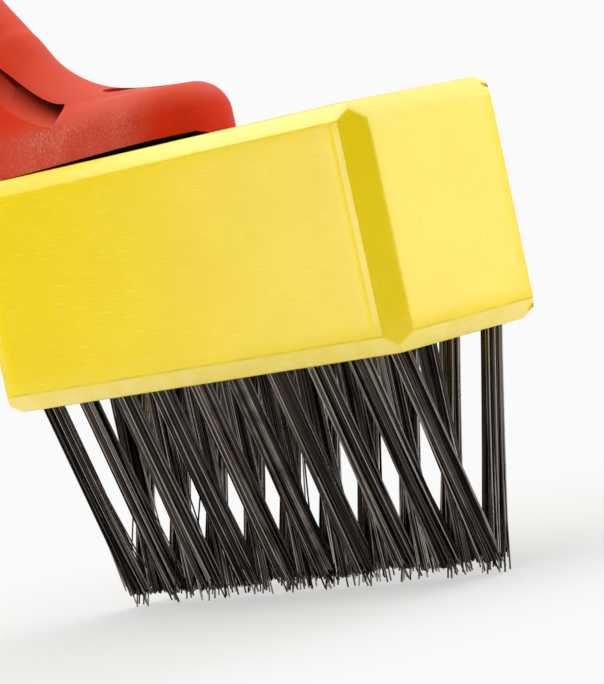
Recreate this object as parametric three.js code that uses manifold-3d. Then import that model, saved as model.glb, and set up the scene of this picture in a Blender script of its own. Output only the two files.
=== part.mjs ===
// Wire scraper brush head: a painted wooden block, three rows of steel wire tufts that
// lean together to one narrow working line, and a moulded bracket that takes a handle.
// Units are millimetres and +Z is up. X runs along the block, towards the bracket's toe.
import * as THREE from 'three';
import { mergeVertices } from 'three/addons/utils/BufferGeometryUtils.js';
import Module from 'manifold-3d';

const wasm = await Module();
wasm.setup();

// Driving dimensions: fits
const clearance = 0.3; // between pieces that seat in, on or beside each other

// Driving dimensions: wooden block
const blockLength = 150;
const blockWidth = 59;
const blockHeight = 63;
const edgeChamfer = 5; // along the horizontal edges
const cornerChamfer = 5.6; // down the four upright corners

// Driving dimensions: wire tufts
const wireReach = 60.5; // block underside to the surface that the longest tips stand on
const outerRowCount = 10; // tufts in each outer row; the middle row has one fewer
const rowEndMargin = 10.7; // block end to the centre of an outer row's last tuft
const rowSideMargin = 11.5; // block side to the centre line of an outer row
const tuftDiameter = 5.2; // bundle where it is packed in its hole
const tipLength = 6.8; // splayed tip, along the row
const tipWidth = 3.8; // splayed tip, across the row
const tipUnevenness = 2.4; // how far a tuft's longest wire passes its shortest
const tuftDepth = 22; // packed length inside the block
const wireDiameter = 0.8;
const innerWireCount = 3; // wires drawn inside the outer ring
const innerWireSpread = 0.36; // their ring, as a share of the bundle's radius
const outerWireCount = 9;
const outerWireSpread = 0.93;
const drillPointHeight = 1.6; // cone left by the drill at the end of a tuft hole
const anchorBite = 0.9; // how far an anchor staple cuts into the wood on each side
const anchorThickness = 0.8;
const anchorHeight = 2.4;

// Driving dimensions: handle bracket
const handleAngle = 50; // degrees between the handle and the block's top
const handleFootSetback = 23.4; // block's rear end to where the handle's axis meets its top
const socketBore = 24;
const socketWall = 2.5;
const socketStart = 37; // along the handle's axis, block top to the foot of the sleeve
const socketLength = 84; // length of the sleeve
const socketDepth = 72; // depth of the bore from its mouth
const sleeveStep = 0.9; // how far the sleeve stands proud of the neck
const collarLength = 9; // stiffening ring at the mouth
const collarWall = 2.2;
const pinHoleDiameter = 4.5; // hole for the screw that locks the handle
const pinHoleSetback = 24; // from the mouth
const footWidth = 38;
const footHeight = 15.4;
const toeLead = 1; // how far the toe's tip passes the middle of the block
const toeLift = 1.6; // how far the toe's tip stands off the block
const toeLiftLength = 44; // from the toe's tip to where the foot comes to rest
const shoulderWidth = 11.5; // rounded shoulder of the foot, seen from above
const shoulderHeight = 9.5;
const heelLedge = 2; // how far the foot reaches behind the neck
const heelRound = 4;
const saddleWidth = 20; // ridge between the neck and the toe
const saddleRound = 5;
const saddleFall = 0.73; // how far the saddle keeps the neck's slope, as a share of its drop
const saddleRun = 0.3; // how far it keeps the toe's level, as a share of its length
const webThickness = 7; // left between the two side pockets
const pocketNeckRoof = 6.2; // wall left above a pocket at the neck
const pocketToeRoof = 3.8; // and at the toe
const pocketNeckHeight = 6.5; // opening of a pocket at the neck
const pocketToeHeight = 5.5; // and at the toe
const pocketStart = 0.12; // ends of a pocket, as shares of the saddle's length
const pocketEnd = 0.58;
const pocketRound = 1.2; // fillet round the floor of a pocket

// Driving dimensions: wood screws that hold the bracket down
const screwDiameter = 4;
const screwHeadDiameter = 8.4;
const screwHeadHeight = 3.2;
const screwHeadRim = 1.8; // upright part of the head's height
const screwHeadCrown = 5; // flat on top of the head
const screwGrip = 22; // length of shank in the wood
const screwPointLength = 5;
const screwSeatHeight = 8.5; // block top to the floor of a counterbore
const toeScrewSetback = 14.5; // toe's tip to the first screw
const screwSpacing = 17.5;
const bossDiameter = 9; // round each screw, under the lifted toe

// Derived levels and places
const blockTop = wireReach + blockHeight;
const bracketSeat = blockTop + clearance;
const rowOffset = blockWidth / 2 - rowSideMargin;
const tuftPitch = (blockLength - 2 * rowEndMargin) / (outerRowCount - 1);
const tipOffset = tipWidth / 2 + clearance; // keeps the two outer rows' tips apart
const holeDiameter = tuftDiameter + 2 * clearance;
const neckRadius = socketBore / 2 + socketWall;
const handleFootX = handleFootSetback - blockLength / 2;
const toeRadius = footWidth / 2;
const toeCentreX = toeLead - toeRadius;
const screwHoleDiameter = screwDiameter + 2 * clearance;
const counterboreDiameter = screwHeadDiameter + 4 * clearance;

const roundSides = 32;
const toeSides = 40;
const holeSides = 10;
const wireSides = 5;

// A closed three.js geometry as a solid for joining and cutting.
function solid(geometry) {
  const loose = geometry.index ? geometry.toNonIndexed() : geometry;
  const bare = new THREE.BufferGeometry().setAttribute('position', loose.getAttribute('position'));
  const merged = mergeVertices(bare, 1e-4);
  return new wasm.Manifold(new wasm.Mesh({
    numProp: 3,
    vertProperties: merged.attributes.position.array,
    triVerts: new Uint32Array(merged.index.array),
  }));
}

// A solid as a three.js geometry with flat faces.
function geometryOf(made) {
  const { numProp, vertProperties, triVerts } = made.getMesh();
  const positions = new Float32Array((vertProperties.length / numProp) * 3);
  for (let i = 0; i < positions.length / 3; i++) {
    positions.set(vertProperties.subarray(i * numProp, i * numProp + 3), i * 3);
  }
  const geometry = new THREE.BufferGeometry();
  geometry.setAttribute('position', new THREE.BufferAttribute(positions, 3));
  geometry.setIndex(new THREE.BufferAttribute(new Uint32Array(triVerts), 1));
  geometry.computeVertexNormals();
  return geometry;
}

// A body turned about +Z from [radius, height] pairs, listed from its bottom to its top.
function turned(profile, sides) {
  const points = profile.map(([radius, height]) => new THREE.Vector2(radius, height));
  return new THREE.LatheGeometry(points, sides).rotateX(Math.PI / 2);
}

// Stands a geometry made about +Z on a point, with its +Z along a direction.
function stood(geometry, point, direction) {
  const up = new THREE.Vector3(0, 0, 1);
  const turn = new THREE.Quaternion().setFromUnitVectors(up, direction.clone().normalize());
  return geometry.applyQuaternion(turn).translate(point.x, point.y, point.z);
}

// A large slab that fills everything below a level, for trimming.
function below(level) {
  const size = 4 * (blockLength + blockHeight);
  return solid(new THREE.BoxGeometry(size, size, size).translate(0, 0, level - size / 2));
}

// Places of the tufts: the outer rows are in line with each other, the middle row between them.
function tuftPlaces() {
  const places = [];
  const row = (name, count, y, tipY) => {
    for (let i = 0; i < count; i++) {
      const x = (i - (count - 1) / 2) * tuftPitch;
      places.push({
        name: `tuft_${name}_${String(i + 1).padStart(2, '0')}`,
        root: new THREE.Vector3(x, y, wireReach),
        tip: new THREE.Vector3(x, tipY, 0),
      });
    }
  };
  row('near', outerRowCount, -rowOffset, -tipOffset);
  row('middle', outerRowCount - 1, 0, 0);
  row('far', outerRowCount, rowOffset, tipOffset);
  return places;
}

// The staple that holds a tuft in its hole, a flat bar across the hole's end; fit widens it all round.
function anchorBar(fit) {
  return new THREE.BoxGeometry(
    holeDiameter + 2 * anchorBite + 2 * fit,
    anchorThickness + 2 * fit,
    anchorHeight + 2 * fit,
  ).translate(0, 0, tuftDepth - anchorHeight / 2);
}

// Places of a tuft's wires across the bundle, and how much shorter than the longest each was trimmed.
function wireSpots() {
  const rings = [[innerWireCount, innerWireSpread], [outerWireCount, outerWireSpread]];
  return rings.flatMap(([count, spread]) => Array.from({ length: count }, (_, i) => {
    const angle = (2 * Math.PI * (i + 0.5)) / count;
    return {
      x: spread * Math.cos(angle),
      y: spread * Math.sin(angle),
      trim: tipUnevenness * (((i * 2) % count) / count),
    };
  }));
}

// One tuft: wires packed into a root, folded over the anchor, that splay to a trimmed tip.
function tuft({ root, tip }) {
  const up = root.clone().sub(tip).normalize();
  const reach = root.distanceTo(tip);
  const packed = turned([
    [0, 0], [tuftDiameter / 2, 0], [tuftDiameter / 2, tuftDepth], [0, tuftDepth],
  ], holeSides);
  const pieces = [solid(packed), solid(anchorBar(0))];
  const packedSpread = (tuftDiameter - wireDiameter) / 2;
  const tipSpread = new THREE.Vector2(tipLength - wireDiameter, tipWidth - wireDiameter).divideScalar(2);
  for (const { x, y, trim } of wireSpots()) {
    const top = new THREE.Vector3(x * packedSpread, y * packedSpread, wireDiameter);
    // The longest wire is drawn past the floor and cut off on it.
    const level = trim > 0 ? trim - reach : -reach - tipWidth;
    const end = new THREE.Vector3(x * tipSpread.x, y * tipSpread.y, level);
    const wire = turned([
      [0, 0], [wireDiameter / 2, 0], [wireDiameter / 2, top.distanceTo(end)], [0, top.distanceTo(end)],
    ], wireSides);
    pieces.push(solid(stood(wire, end, top.clone().sub(end))));
  }
  const bundle = stood(geometryOf(wasm.Manifold.union(pieces)), root, up);
  return geometryOf(solid(bundle).subtract(below(0)));
}

// Places of the two screws along the bracket's toe.
function screwPlaces() {
  const seat = bracketSeat + screwSeatHeight;
  return ['toe_screw', 'saddle_screw'].map((name, i) => ({
    name,
    point: new THREE.Vector3(toeLead - toeScrewSetback - i * screwSpacing, 0, seat),
  }));
}

// A turned wood screw, head up, with its head's underside at the origin; fit widens it all round.
function screw(fit, headRadius) {
  const shank = screwDiameter / 2 + fit;
  const end = -(screwSeatHeight + clearance + screwGrip);
  return turned([
    [0, end - fit],
    [shank, end + screwPointLength],
    [shank, 0],
    [headRadius, 0],
    [headRadius, screwHeadRim],
    [screwHeadCrown / 2, screwHeadHeight],
    [0, screwHeadHeight],
  ], roundSides / 2);
}

// The block: a chamfered beam with its upright corners cut off and a hole for each tuft and screw.
function block() {
  const plan = (corner) => {
    const [x, y] = [blockLength / 2, blockWidth / 2];
    return new THREE.Shape([
      [x, y - corner], [x - corner, y], [corner - x, y], [-x, y - corner],
      [-x, corner - y], [corner - x, -y], [x - corner, -y], [x, corner - y],
    ].map(([px, py]) => new THREE.Vector2(px, py)));
  };
  const beam = new THREE.Shape([[1, 1], [-1, 1], [-1, -1], [1, -1]].map(
    ([sx, sy]) => new THREE.Vector2((sx * blockLength) / 2, (sy * blockWidth) / 2),
  ));
  const chamfered = new THREE.ExtrudeGeometry(beam, {
    depth: blockHeight - 2 * edgeChamfer,
    bevelThickness: edgeChamfer,
    bevelSize: edgeChamfer,
    bevelOffset: -edgeChamfer,
    bevelSegments: 1,
  }).translate(0, 0, wireReach + edgeChamfer);
  const upright = new THREE.ExtrudeGeometry(plan(cornerChamfer), {
    depth: 2 * blockHeight,
    bevelEnabled: false,
  });
  upright.translate(0, 0, wireReach - blockHeight / 2);

  const cuts = [];
  for (const { root, tip } of tuftPlaces()) {
    const up = root.clone().sub(tip).normalize();
    const mouth = root.clone().addScaledVector(up, -holeDiameter);
    const drill = turned([
      [0, 0],
      [holeDiameter / 2, 0],
      [holeDiameter / 2, holeDiameter + tuftDepth + clearance],
      [0, holeDiameter + tuftDepth + clearance + drillPointHeight],
    ], holeSides);
    cuts.push(solid(stood(drill, mouth, up)), solid(stood(anchorBar(clearance), root, up)));
  }
  for (const { point } of screwPlaces()) {
    cuts.push(solid(screw(clearance, screwHeadDiameter / 2).translate(point.x, point.y, point.z)));
  }
  const body = solid(chamfered).intersect(solid(upright));
  return geometryOf(body.subtract(wasm.Manifold.union(cuts)));
}

// The handle's axis, from where it meets the block's top.
const axisFoot = new THREE.Vector3(handleFootX, 0, blockTop);
const axisDirection = new THREE.Vector3(
  -Math.cos(THREE.MathUtils.degToRad(handleAngle)), 0, Math.sin(THREE.MathUtils.degToRad(handleAngle)),
);
const alongAxis = (distance) => axisFoot.clone().addScaledVector(axisDirection, distance);
const aboveAxis = new THREE.Vector3(axisDirection.z, 0, -axisDirection.x);
const mouthDistance = socketStart + socketLength;

// Half of the foot's section, from its middle under the seat, round its shoulder, to its top's middle.
function footSection() {
  const sunk = bracketSeat - 2 * heelRound;
  const spring = bracketSeat + footHeight - shoulderHeight;
  const inner = toeRadius - shoulderWidth;
  const shoulder = new THREE.EllipseCurve(inner, spring, shoulderWidth, shoulderHeight, 0, Math.PI / 2);
  const rounded = shoulder.getPoints(6).map(({ x, y }) => [x, y]);
  return [[0, sunk], [toeRadius, sunk], ...rounded, [0, bracketSeat + footHeight]];
}

// The foot: a beam of that section with a rounded heel, and the same section turned for the toe.
function foot() {
  const half = footSection();
  const right = half.slice(1, -1).map(([y, z]) => new THREE.Vector2(y, z));
  const left = right.map(({ x, y }) => new THREE.Vector2(-x, y)).reverse();
  const shape = new THREE.Shape([...right, ...left]);
  const heelX = handleFootX - (neckRadius - sleeveStep) / axisDirection.z - heelLedge;
  const beam = new THREE.ExtrudeGeometry(shape, {
    depth: toeCentreX - heelX - heelRound,
    bevelThickness: heelRound,
    bevelSize: heelRound,
    bevelOffset: -heelRound,
    bevelSegments: 2,
  }).rotateX(Math.PI / 2).rotateZ(Math.PI / 2).translate(heelX + heelRound, 0, 0);
  const toe = turned(half, toeSides).translate(toeCentreX, 0, 0);
  return solid(beam).add(solid(toe));
}

// What is cut from under the foot so that the toe stands a little off the block, round the screws' bosses.
function underToe() {
  const size = 2 * toeLiftLength;
  const wedge = new THREE.BoxGeometry(size, 2 * footWidth, size).translate(size / 2, 0, -size / 2);
  wedge.rotateY(-Math.atan2(toeLift, toeLiftLength)).translate(toeLead - toeLiftLength, 0, bracketSeat);
  const bosses = screwPlaces().map(({ point }) => {
    const boss = turned([
      [0, bracketSeat], [bossDiameter / 2, bracketSeat], [bossDiameter / 2, point.z], [0, point.z],
    ], roundSides);
    return solid(boss.translate(point.x, 0, 0));
  });
  return solid(wedge).subtract(wasm.Manifold.union(bosses));
}

// The curve along the top of the bracket, from the foot of the sleeve down to the toe.
function saddleCurve() {
  const start = alongAxis(socketStart).addScaledVector(aboveAxis, neckRadius);
  const end = new THREE.Vector3(toeCentreX, 0, bracketSeat + footHeight);
  const bend = (saddleFall * (start.z - end.z)) / axisDirection.z;
  return new THREE.CubicBezierCurve(
    new THREE.Vector2(start.x, start.z),
    new THREE.Vector2(start.x - axisDirection.x * bend, start.z - axisDirection.z * bend),
    new THREE.Vector2(end.x - saddleRun * (end.x - start.x), end.z),
    new THREE.Vector2(end.x, end.z),
  );
}

// The web that fills the corner between the neck and the toe, with a rounded cap.
function saddle() {
  const top = saddleCurve().getPoints(12);
  const floor = bracketSeat - saddleRound;
  const shape = new THREE.Shape([
    new THREE.Vector2(handleFootX, floor), new THREE.Vector2(top.at(-1).x, floor),
    ...top.reverse(), new THREE.Vector2(alongAxis(socketStart).x, alongAxis(socketStart).z),
  ]);
  return new THREE.ExtrudeGeometry(shape, {
    depth: saddleWidth - 2 * saddleRound,
    bevelThickness: saddleRound,
    bevelSize: saddleRound,
    bevelOffset: -saddleRound,
    bevelSegments: 3,
  }).rotateX(Math.PI / 2).translate(0, saddleWidth / 2 - saddleRound, 0);
}

// A pocket in the flank of the neck: side is 1 for the far flank and -1 for the near one.
function pocket(side) {
  const curve = saddleCurve();
  const edge = (neckDrop, toeDrop) => [0, 1 / 3, 2 / 3, 1].map((share) => {
    const place = THREE.MathUtils.lerp(pocketStart, pocketEnd, share);
    const along = curve.getTangent(place);
    const down = new THREE.Vector2(along.y, -along.x);
    return curve.getPoint(place).addScaledVector(down, THREE.MathUtils.lerp(neckDrop, toeDrop, share));
  });
  const shape = new THREE.Shape([
    ...edge(pocketNeckRoof + pocketNeckHeight, pocketToeRoof + pocketToeHeight),
    ...edge(pocketNeckRoof, pocketToeRoof).reverse(),
  ]);
  const cut = new THREE.ExtrudeGeometry(shape, {
    depth: footWidth,
    bevelThickness: pocketRound,
    bevelSize: pocketRound,
    bevelOffset: -pocketRound,
    bevelSegments: 2,
  }).rotateX(Math.PI / 2);
  const inner = webThickness / 2 + pocketRound;
  return cut.translate(0, side > 0 ? inner + footWidth : -inner, 0);
}

// The bracket: foot, neck and sleeve in one moulding, with a bore for the handle.
function bracket() {
  const neck = neckRadius - sleeveStep;
  const collar = neckRadius + collarWall;
  const tube = turned([
    [0, -2 * neckRadius],
    [neck, -2 * neckRadius],
    [neck, socketStart],
    [neckRadius, socketStart + sleeveStep],
    [neckRadius, mouthDistance - collarLength - collarWall],
    [collar, mouthDistance - collarLength],
    [collar, mouthDistance],
    [0, mouthDistance],
  ], roundSides);
  const bore = turned([
    [0, mouthDistance - socketDepth],
    [socketBore / 2, mouthDistance - socketDepth],
    [socketBore / 2, mouthDistance + collarLength],
    [0, mouthDistance + collarLength],
  ], roundSides);
  const pinHole = turned([
    [0, 0], [pinHoleDiameter / 2, 0], [pinHoleDiameter / 2, 2 * neckRadius], [0, 2 * neckRadius],
  ], holeSides);

  const body = wasm.Manifold.union([
    foot(),
    solid(stood(tube, axisFoot, axisDirection)),
    solid(saddle()),
  ]).subtract(below(bracketSeat));
  const cuts = [
    underToe(),
    solid(pocket(1)),
    solid(pocket(-1)),
    solid(stood(bore, axisFoot, axisDirection)),
    solid(stood(pinHole, alongAxis(mouthDistance - pinHoleSetback), aboveAxis)),
  ];
  for (const { point } of screwPlaces()) {
    const hole = turned([
      [0, -2 * screwSeatHeight],
      [screwHoleDiameter / 2, -2 * screwSeatHeight],
      [screwHoleDiameter / 2, -clearance],
      [counterboreDiameter / 2, -clearance],
      [counterboreDiameter / 2, 2 * footHeight],
      [0, 2 * footHeight],
    ], roundSides / 2);
    cuts.push(solid(hole.translate(point.x, point.y, point.z)));
  }
  return geometryOf(body.subtract(wasm.Manifold.union(cuts)));
}

// Materials
const yellowPaint = new THREE.MeshStandardMaterial({ color: '#f0d828', roughness: 0.5, metalness: 0 });
const redPlastic = new THREE.MeshStandardMaterial({ color: '#d2402b', roughness: 0.6, metalness: 0 });
const darkWire = new THREE.MeshStandardMaterial({ color: '#3a332d', roughness: 0.4, metalness: 0.9 });
const zincPlate = new THREE.MeshStandardMaterial({ color: '#b9bcc0', roughness: 0.35, metalness: 1 });

function named(name, geometry, material) {
  const mesh = new THREE.Mesh(geometry, material);
  mesh.name = name;
  return mesh;
}

// The assembly, moved so that its origin is under the middle of its box, on the tips' level.
const brush = new THREE.Group();
brush.add(named('brush_block', block(), yellowPaint));
brush.add(named('handle_bracket', bracket(), redPlastic));
for (const { name, point } of screwPlaces()) {
  brush.add(named(name, screw(0, screwHeadDiameter / 2).translate(point.x, point.y, point.z), zincPlate));
}
for (const place of tuftPlaces()) {
  brush.add(named(place.name, tuft(place), darkWire));
}
const box = new THREE.Box3().setFromObject(brush);
brush.position.x = -(box.min.x + box.max.x) / 2;

const scraper = new THREE.Group();
scraper.add(brush);

export default scraper;
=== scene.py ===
"""Wire scraper brush: a painted wooden block, steel wire tufts and a moulded handle bracket.

Sizes are in millimetres and angles in degrees, unless a comment says otherwise.
"""
import logging
import math
from contextlib import contextmanager
from dataclasses import dataclass, field
from enum import Enum
from typing import Any, Callable, Iterator, Sequence

import bmesh
import bpy
import numpy as np
from mathutils import Matrix, Vector, noise


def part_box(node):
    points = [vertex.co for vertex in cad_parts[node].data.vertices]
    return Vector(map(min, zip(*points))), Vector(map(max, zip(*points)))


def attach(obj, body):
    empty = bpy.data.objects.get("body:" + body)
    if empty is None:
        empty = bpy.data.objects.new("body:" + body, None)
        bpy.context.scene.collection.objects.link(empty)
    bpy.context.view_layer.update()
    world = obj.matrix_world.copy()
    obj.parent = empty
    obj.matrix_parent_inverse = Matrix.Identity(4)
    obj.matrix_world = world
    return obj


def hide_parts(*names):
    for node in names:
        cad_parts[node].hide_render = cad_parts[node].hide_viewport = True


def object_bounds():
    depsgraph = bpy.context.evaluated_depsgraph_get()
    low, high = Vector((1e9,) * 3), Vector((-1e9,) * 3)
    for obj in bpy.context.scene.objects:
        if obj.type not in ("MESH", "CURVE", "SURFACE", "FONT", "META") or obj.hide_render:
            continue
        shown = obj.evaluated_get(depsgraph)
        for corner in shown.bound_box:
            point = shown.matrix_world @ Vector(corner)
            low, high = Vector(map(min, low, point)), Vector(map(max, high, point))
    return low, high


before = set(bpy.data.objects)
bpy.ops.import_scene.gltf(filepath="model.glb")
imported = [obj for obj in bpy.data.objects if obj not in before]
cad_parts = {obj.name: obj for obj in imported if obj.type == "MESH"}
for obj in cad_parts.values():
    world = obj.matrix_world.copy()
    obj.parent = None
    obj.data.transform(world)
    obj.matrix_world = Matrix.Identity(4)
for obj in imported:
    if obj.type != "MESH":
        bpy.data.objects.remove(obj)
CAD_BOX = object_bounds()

MM = 0.001
UP = Vector((0, 0, 1))
LOG = logging.getLogger("brush")


class Slot(Enum):
    """The record's material slots."""

    PAINT = "painted_wood"
    PLASTIC = "moulded_plastic"
    WIRE = "steel_wire"
    ZINC = "screw_zinc"


class Row(Enum):
    """The three rows of tufts: the side of the block's middle line that each stands on."""

    NEAR = -1
    MIDDLE = 0
    FAR = 1


class Element(Enum):
    """What is selected in edit mode, with the name of its list in the mesh."""

    VERT = "verts"
    EDGE = "edges"
    FACE = "faces"


def linear(code: str) -> tuple[float, float, float, float]:
    """Turn an sRGB hex colour into linear values.

    Args:
        code: Six hex digits after a hash sign.

    Returns:
        Red, green, blue and an alpha of one.
    """
    parts = [int(code[i:i + 2], 16) / 255 for i in (1, 3, 5)]
    red, green, blue = [
        p / 12.92 if p <= 0.04045 else ((p + 0.055) / 1.055) ** 2.4 for p in parts]
    return red, green, blue, 1.0


def add_node(tree: bpy.types.NodeTree, kind: str, sockets: dict[Any, Any] | None = None,
             stops: Sequence[tuple[float, str]] = (), **settings: Any) -> bpy.types.Node:
    """Add a node with its settings, values and links.

    Args:
        tree: The node tree that takes the node.
        kind: The node's type, without its ShaderNode prefix.
        sockets: Input name or number to a value, to the output that feeds it, or to a node
            whose first live output feeds it.
        stops: A colour ramp's pairs of position and sRGB hex colour.
        **settings: The node's own properties.

    Returns:
        The new node.
    """
    node = tree.nodes.new("ShaderNode" + kind)
    for key, value in settings.items():
        setattr(node, key, value)
    for key, value in (sockets or {}).items():
        if isinstance(value, bpy.types.Node):
            value = next(output for output in value.outputs if output.enabled)
        if isinstance(value, bpy.types.NodeSocket):
            tree.links.new(value, node.inputs[key])
        else:
            node.inputs[key].default_value = value
    elements = node.color_ramp.elements if stops else []
    while len(elements) < len(stops):
        elements.new(0.5)
    for element, (place, code) in zip(elements, stops):
        element.position = place
        element.color = linear(code)
    return node


def seen_as_backdrop(tree: bpy.types.NodeTree) -> bpy.types.Node:
    """Tell the rays that show the backdrop to the eye from those that light the object.

    Args:
        tree: The node tree of the floor or the world.

    Returns:
        A node that gives one for rays from the camera, off gloss and through glass.
    """
    rays = add_node(tree, "LightPath").outputs
    direct = add_node(tree, "Math", {0: rays["Is Camera Ray"], 1: rays["Is Glossy Ray"]},
                      operation="MAXIMUM")
    return add_node(tree, "Math", {0: direct, 1: rays["Is Transmission Ray"]},
                    operation="MAXIMUM")


def clear_selection() -> None:
    """Leave edit mode and deselect everything."""
    if bpy.context.object and bpy.context.object.mode != "OBJECT":
        bpy.ops.object.mode_set(mode="OBJECT")
    bpy.ops.object.select_all(action="DESELECT")


def take(piece: bpy.types.Object) -> None:
    """Make one object the only selected and active one.

    Args:
        piece: The object.
    """
    clear_selection()
    piece.select_set(True)
    bpy.context.view_layer.objects.active = piece


def named(name: str) -> bpy.types.Object:
    """Name the newest object and put its place into its mesh.

    Args:
        name: The object's name.

    Returns:
        The object, at the origin, unturned and unscaled.
    """
    piece = bpy.context.object
    piece.name = name
    piece.data.name = name
    bpy.ops.object.transform_apply(location=True, rotation=True, scale=True)
    return piece


def copied(piece: bpy.types.Object, name: str, place: Matrix) -> bpy.types.Object:
    """Copy a piece, with a mesh of its own.

    Args:
        piece: The piece to copy.
        name: The copy's name.
        place: How the copy is turned and moved, in metres.

    Returns:
        The copy.
    """
    take(piece)
    bpy.ops.object.duplicate()
    bpy.context.object.matrix_world = place
    return named(name)


@contextmanager
def edit_mode(piece: bpy.types.Object, kind: Element = Element.VERT) -> Iterator[None]:
    """Work on a piece in edit mode with everything selected.

    Args:
        piece: The piece to edit.
        kind: The select mode.

    Returns:
        A context that ends in object mode.
    """
    take(piece)
    bpy.ops.object.mode_set(mode="EDIT")
    bpy.ops.mesh.select_mode(type=kind.name)
    bpy.ops.mesh.select_all(action="SELECT")
    yield
    bpy.ops.object.mode_set(mode="OBJECT")


def pick(piece: bpy.types.Object, kind: Element, test: Callable[[Any], bool]) -> None:
    """Select, in edit mode, only the elements that pass a test.

    Args:
        piece: The piece in edit mode.
        kind: What is selected.
        test: Says whether an element is selected.
    """
    bpy.ops.mesh.select_mode(type=kind.name)
    bpy.ops.mesh.select_all(action="DESELECT")
    shape = bmesh.from_edit_mesh(piece.data)
    for element in getattr(shape, kind.value):
        element.select = test(element)
    shape.select_flush_mode()
    bmesh.update_edit_mesh(piece.data)


def finish_with(piece: bpy.types.Object, kind: str, **settings: Any) -> None:
    """Add a modifier to a piece and apply it.

    Args:
        piece: The piece to change.
        kind: The modifier's type.
        **settings: The modifier's properties.
    """
    take(piece)
    modifier = piece.modifiers.new(kind.lower(), kind)
    for key, value in settings.items():
        setattr(modifier, key, value)
    bpy.ops.object.modifier_apply(modifier=modifier.name)


def cut_out(piece: bpy.types.Object, cutter: bpy.types.Object) -> None:
    """Cut a body out of a piece and throw the cutter away."""
    finish_with(piece, "BOOLEAN", object=cutter, operation="DIFFERENCE", solver="EXACT")
    bpy.data.objects.remove(cutter)


def merged(name: str, bodies: Sequence[bpy.types.Object]) -> bpy.types.Object:
    """Join several bodies into one object.

    Args:
        name: The name of the joined object.
        bodies: The bodies, of which the first stays.

    Returns:
        The joined object.
    """
    take(bodies[0])
    for body in bodies[1:]:
        body.select_set(True)
    bpy.ops.object.join()
    bodies[0].name = name
    bodies[0].data.name = name
    return bodies[0]


def lofted(name: str, rings: np.ndarray) -> bpy.types.Object:
    """Extrude one ring of points through a row of others and close both ends.

    Args:
        name: The object's name.
        rings: Rings of points in metres, as an array of ring, point and coordinate.

    Returns:
        The closed body.
    """
    clear_selection()
    bpy.ops.mesh.primitive_circle_add(vertices=rings.shape[1], radius=1, fill_type="NGON")
    body = named(name)
    for vertex, place in zip(body.data.vertices, rings[0]):
        vertex.co = place
    with edit_mode(body, Element.FACE):
        for last, ring in zip(rings[:-1], rings[1:]):
            bpy.ops.mesh.extrude_region_move()
            shape = bmesh.from_edit_mesh(body.data)
            for vertex in [v for v in shape.verts if v.select]:
                nearest = int(np.argmin(((last - np.array(vertex.co)) ** 2).sum(axis=1)))
                vertex.co = ring[nearest]
            bmesh.update_edit_mesh(body.data)
        pick(body, Element.EDGE, lambda edge: edge.is_boundary)
        bpy.ops.mesh.edge_face_add()
        bpy.ops.mesh.select_all(action="SELECT")
        bpy.ops.mesh.normals_make_consistent(inside=False)
    return body


def turned(name: str, steps: Sequence[tuple[float, float]], foot: Vector, axis: Vector,
           sides: int = 96) -> bpy.types.Object:
    """Turn a body from a disc whose end face is extruded and resized step by step.

    Args:
        name: The object's name.
        steps: Pairs of radius and height, from the bottom to the top.
        foot: The point, in metres, that the heights count from.
        axis: The direction in which they count.
        sides: Number of sides.

    Returns:
        The closed body.
    """
    angles = np.linspace(0, 2 * math.pi, sides, endpoint=False)
    circle = np.stack([np.cos(angles), np.sin(angles), np.zeros(sides)], axis=1)
    turn = np.array(UP.rotation_difference(axis).to_matrix())
    return lofted(name, np.array([
        (circle * radius + (0, 0, height)) * MM @ turn.T + np.array(foot)
        for radius, height in steps]))


def smooth_line(points: Sequence[Sequence[float]], count: int, degree: int) -> np.ndarray:
    """Draw a smooth line past points that stand about evenly along it.

    Args:
        points: The points.
        count: How many points the line gets.
        degree: How freely it bends.

    Returns:
        The line's points.
    """
    shares, fine = np.linspace(0, 1, len(points)), np.linspace(0, 1, count)
    return np.stack([np.polyval(np.polyfit(shares, column, degree), fine)
                     for column in np.array(points).T], axis=1)


def coordinates(piece: bpy.types.Object) -> np.ndarray:
    """List a piece's vertices.

    Args:
        piece: The piece.

    Returns:
        One point in metres for each vertex.
    """
    flat = np.empty(len(piece.data.vertices) * 3)
    piece.data.vertices.foreach_get("co", flat)
    return flat.reshape(-1, 3)


def place_vertices(piece: bpy.types.Object, points: np.ndarray) -> None:
    """Write a piece's vertices back, kept inside the box of the solids.

    Args:
        piece: The piece to change.
        points: Its vertices in metres.
    """
    inside = np.clip(points, np.array(CAD_BOX[0]), np.array(CAD_BOX[1]))
    piece.data.vertices.foreach_set("co", inside.ravel())
    piece.data.update()


def mark(piece: bpy.types.Object, name: str, values: np.ndarray) -> None:
    """Store one value for each vertex, for the finish to read.

    Args:
        piece: The piece to mark.
        name: The attribute's name.
        values: One value for each vertex.
    """
    layer = piece.data.attributes.new(name, "FLOAT", "POINT")
    layer.data.foreach_set("value", np.ascontiguousarray(values, dtype=np.float32))


def hand_over(piece: bpy.types.Object, slot: Slot, material: bpy.types.Material,
              smooth_below: float, *nodes: str) -> None:
    """Shade and dress a finished piece and tie it to the frame.

    Args:
        piece: The finished piece.
        slot: The slot of its finish; not used.
        material: Its material.
        smooth_below: The angle between two faces up to which their edge looks smooth.
        *nodes: The solids that it stands for.
    """
    take(piece)
    bpy.ops.object.shade_smooth_by_angle(angle=math.radians(smooth_below))
    piece.data.materials.clear()
    piece.data.materials.append(material)
    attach(piece, "root")
    if nodes:
        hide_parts(*nodes)
    LOG.info("%s: %d faces", piece.name, len(piece.data.polygons))


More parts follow.
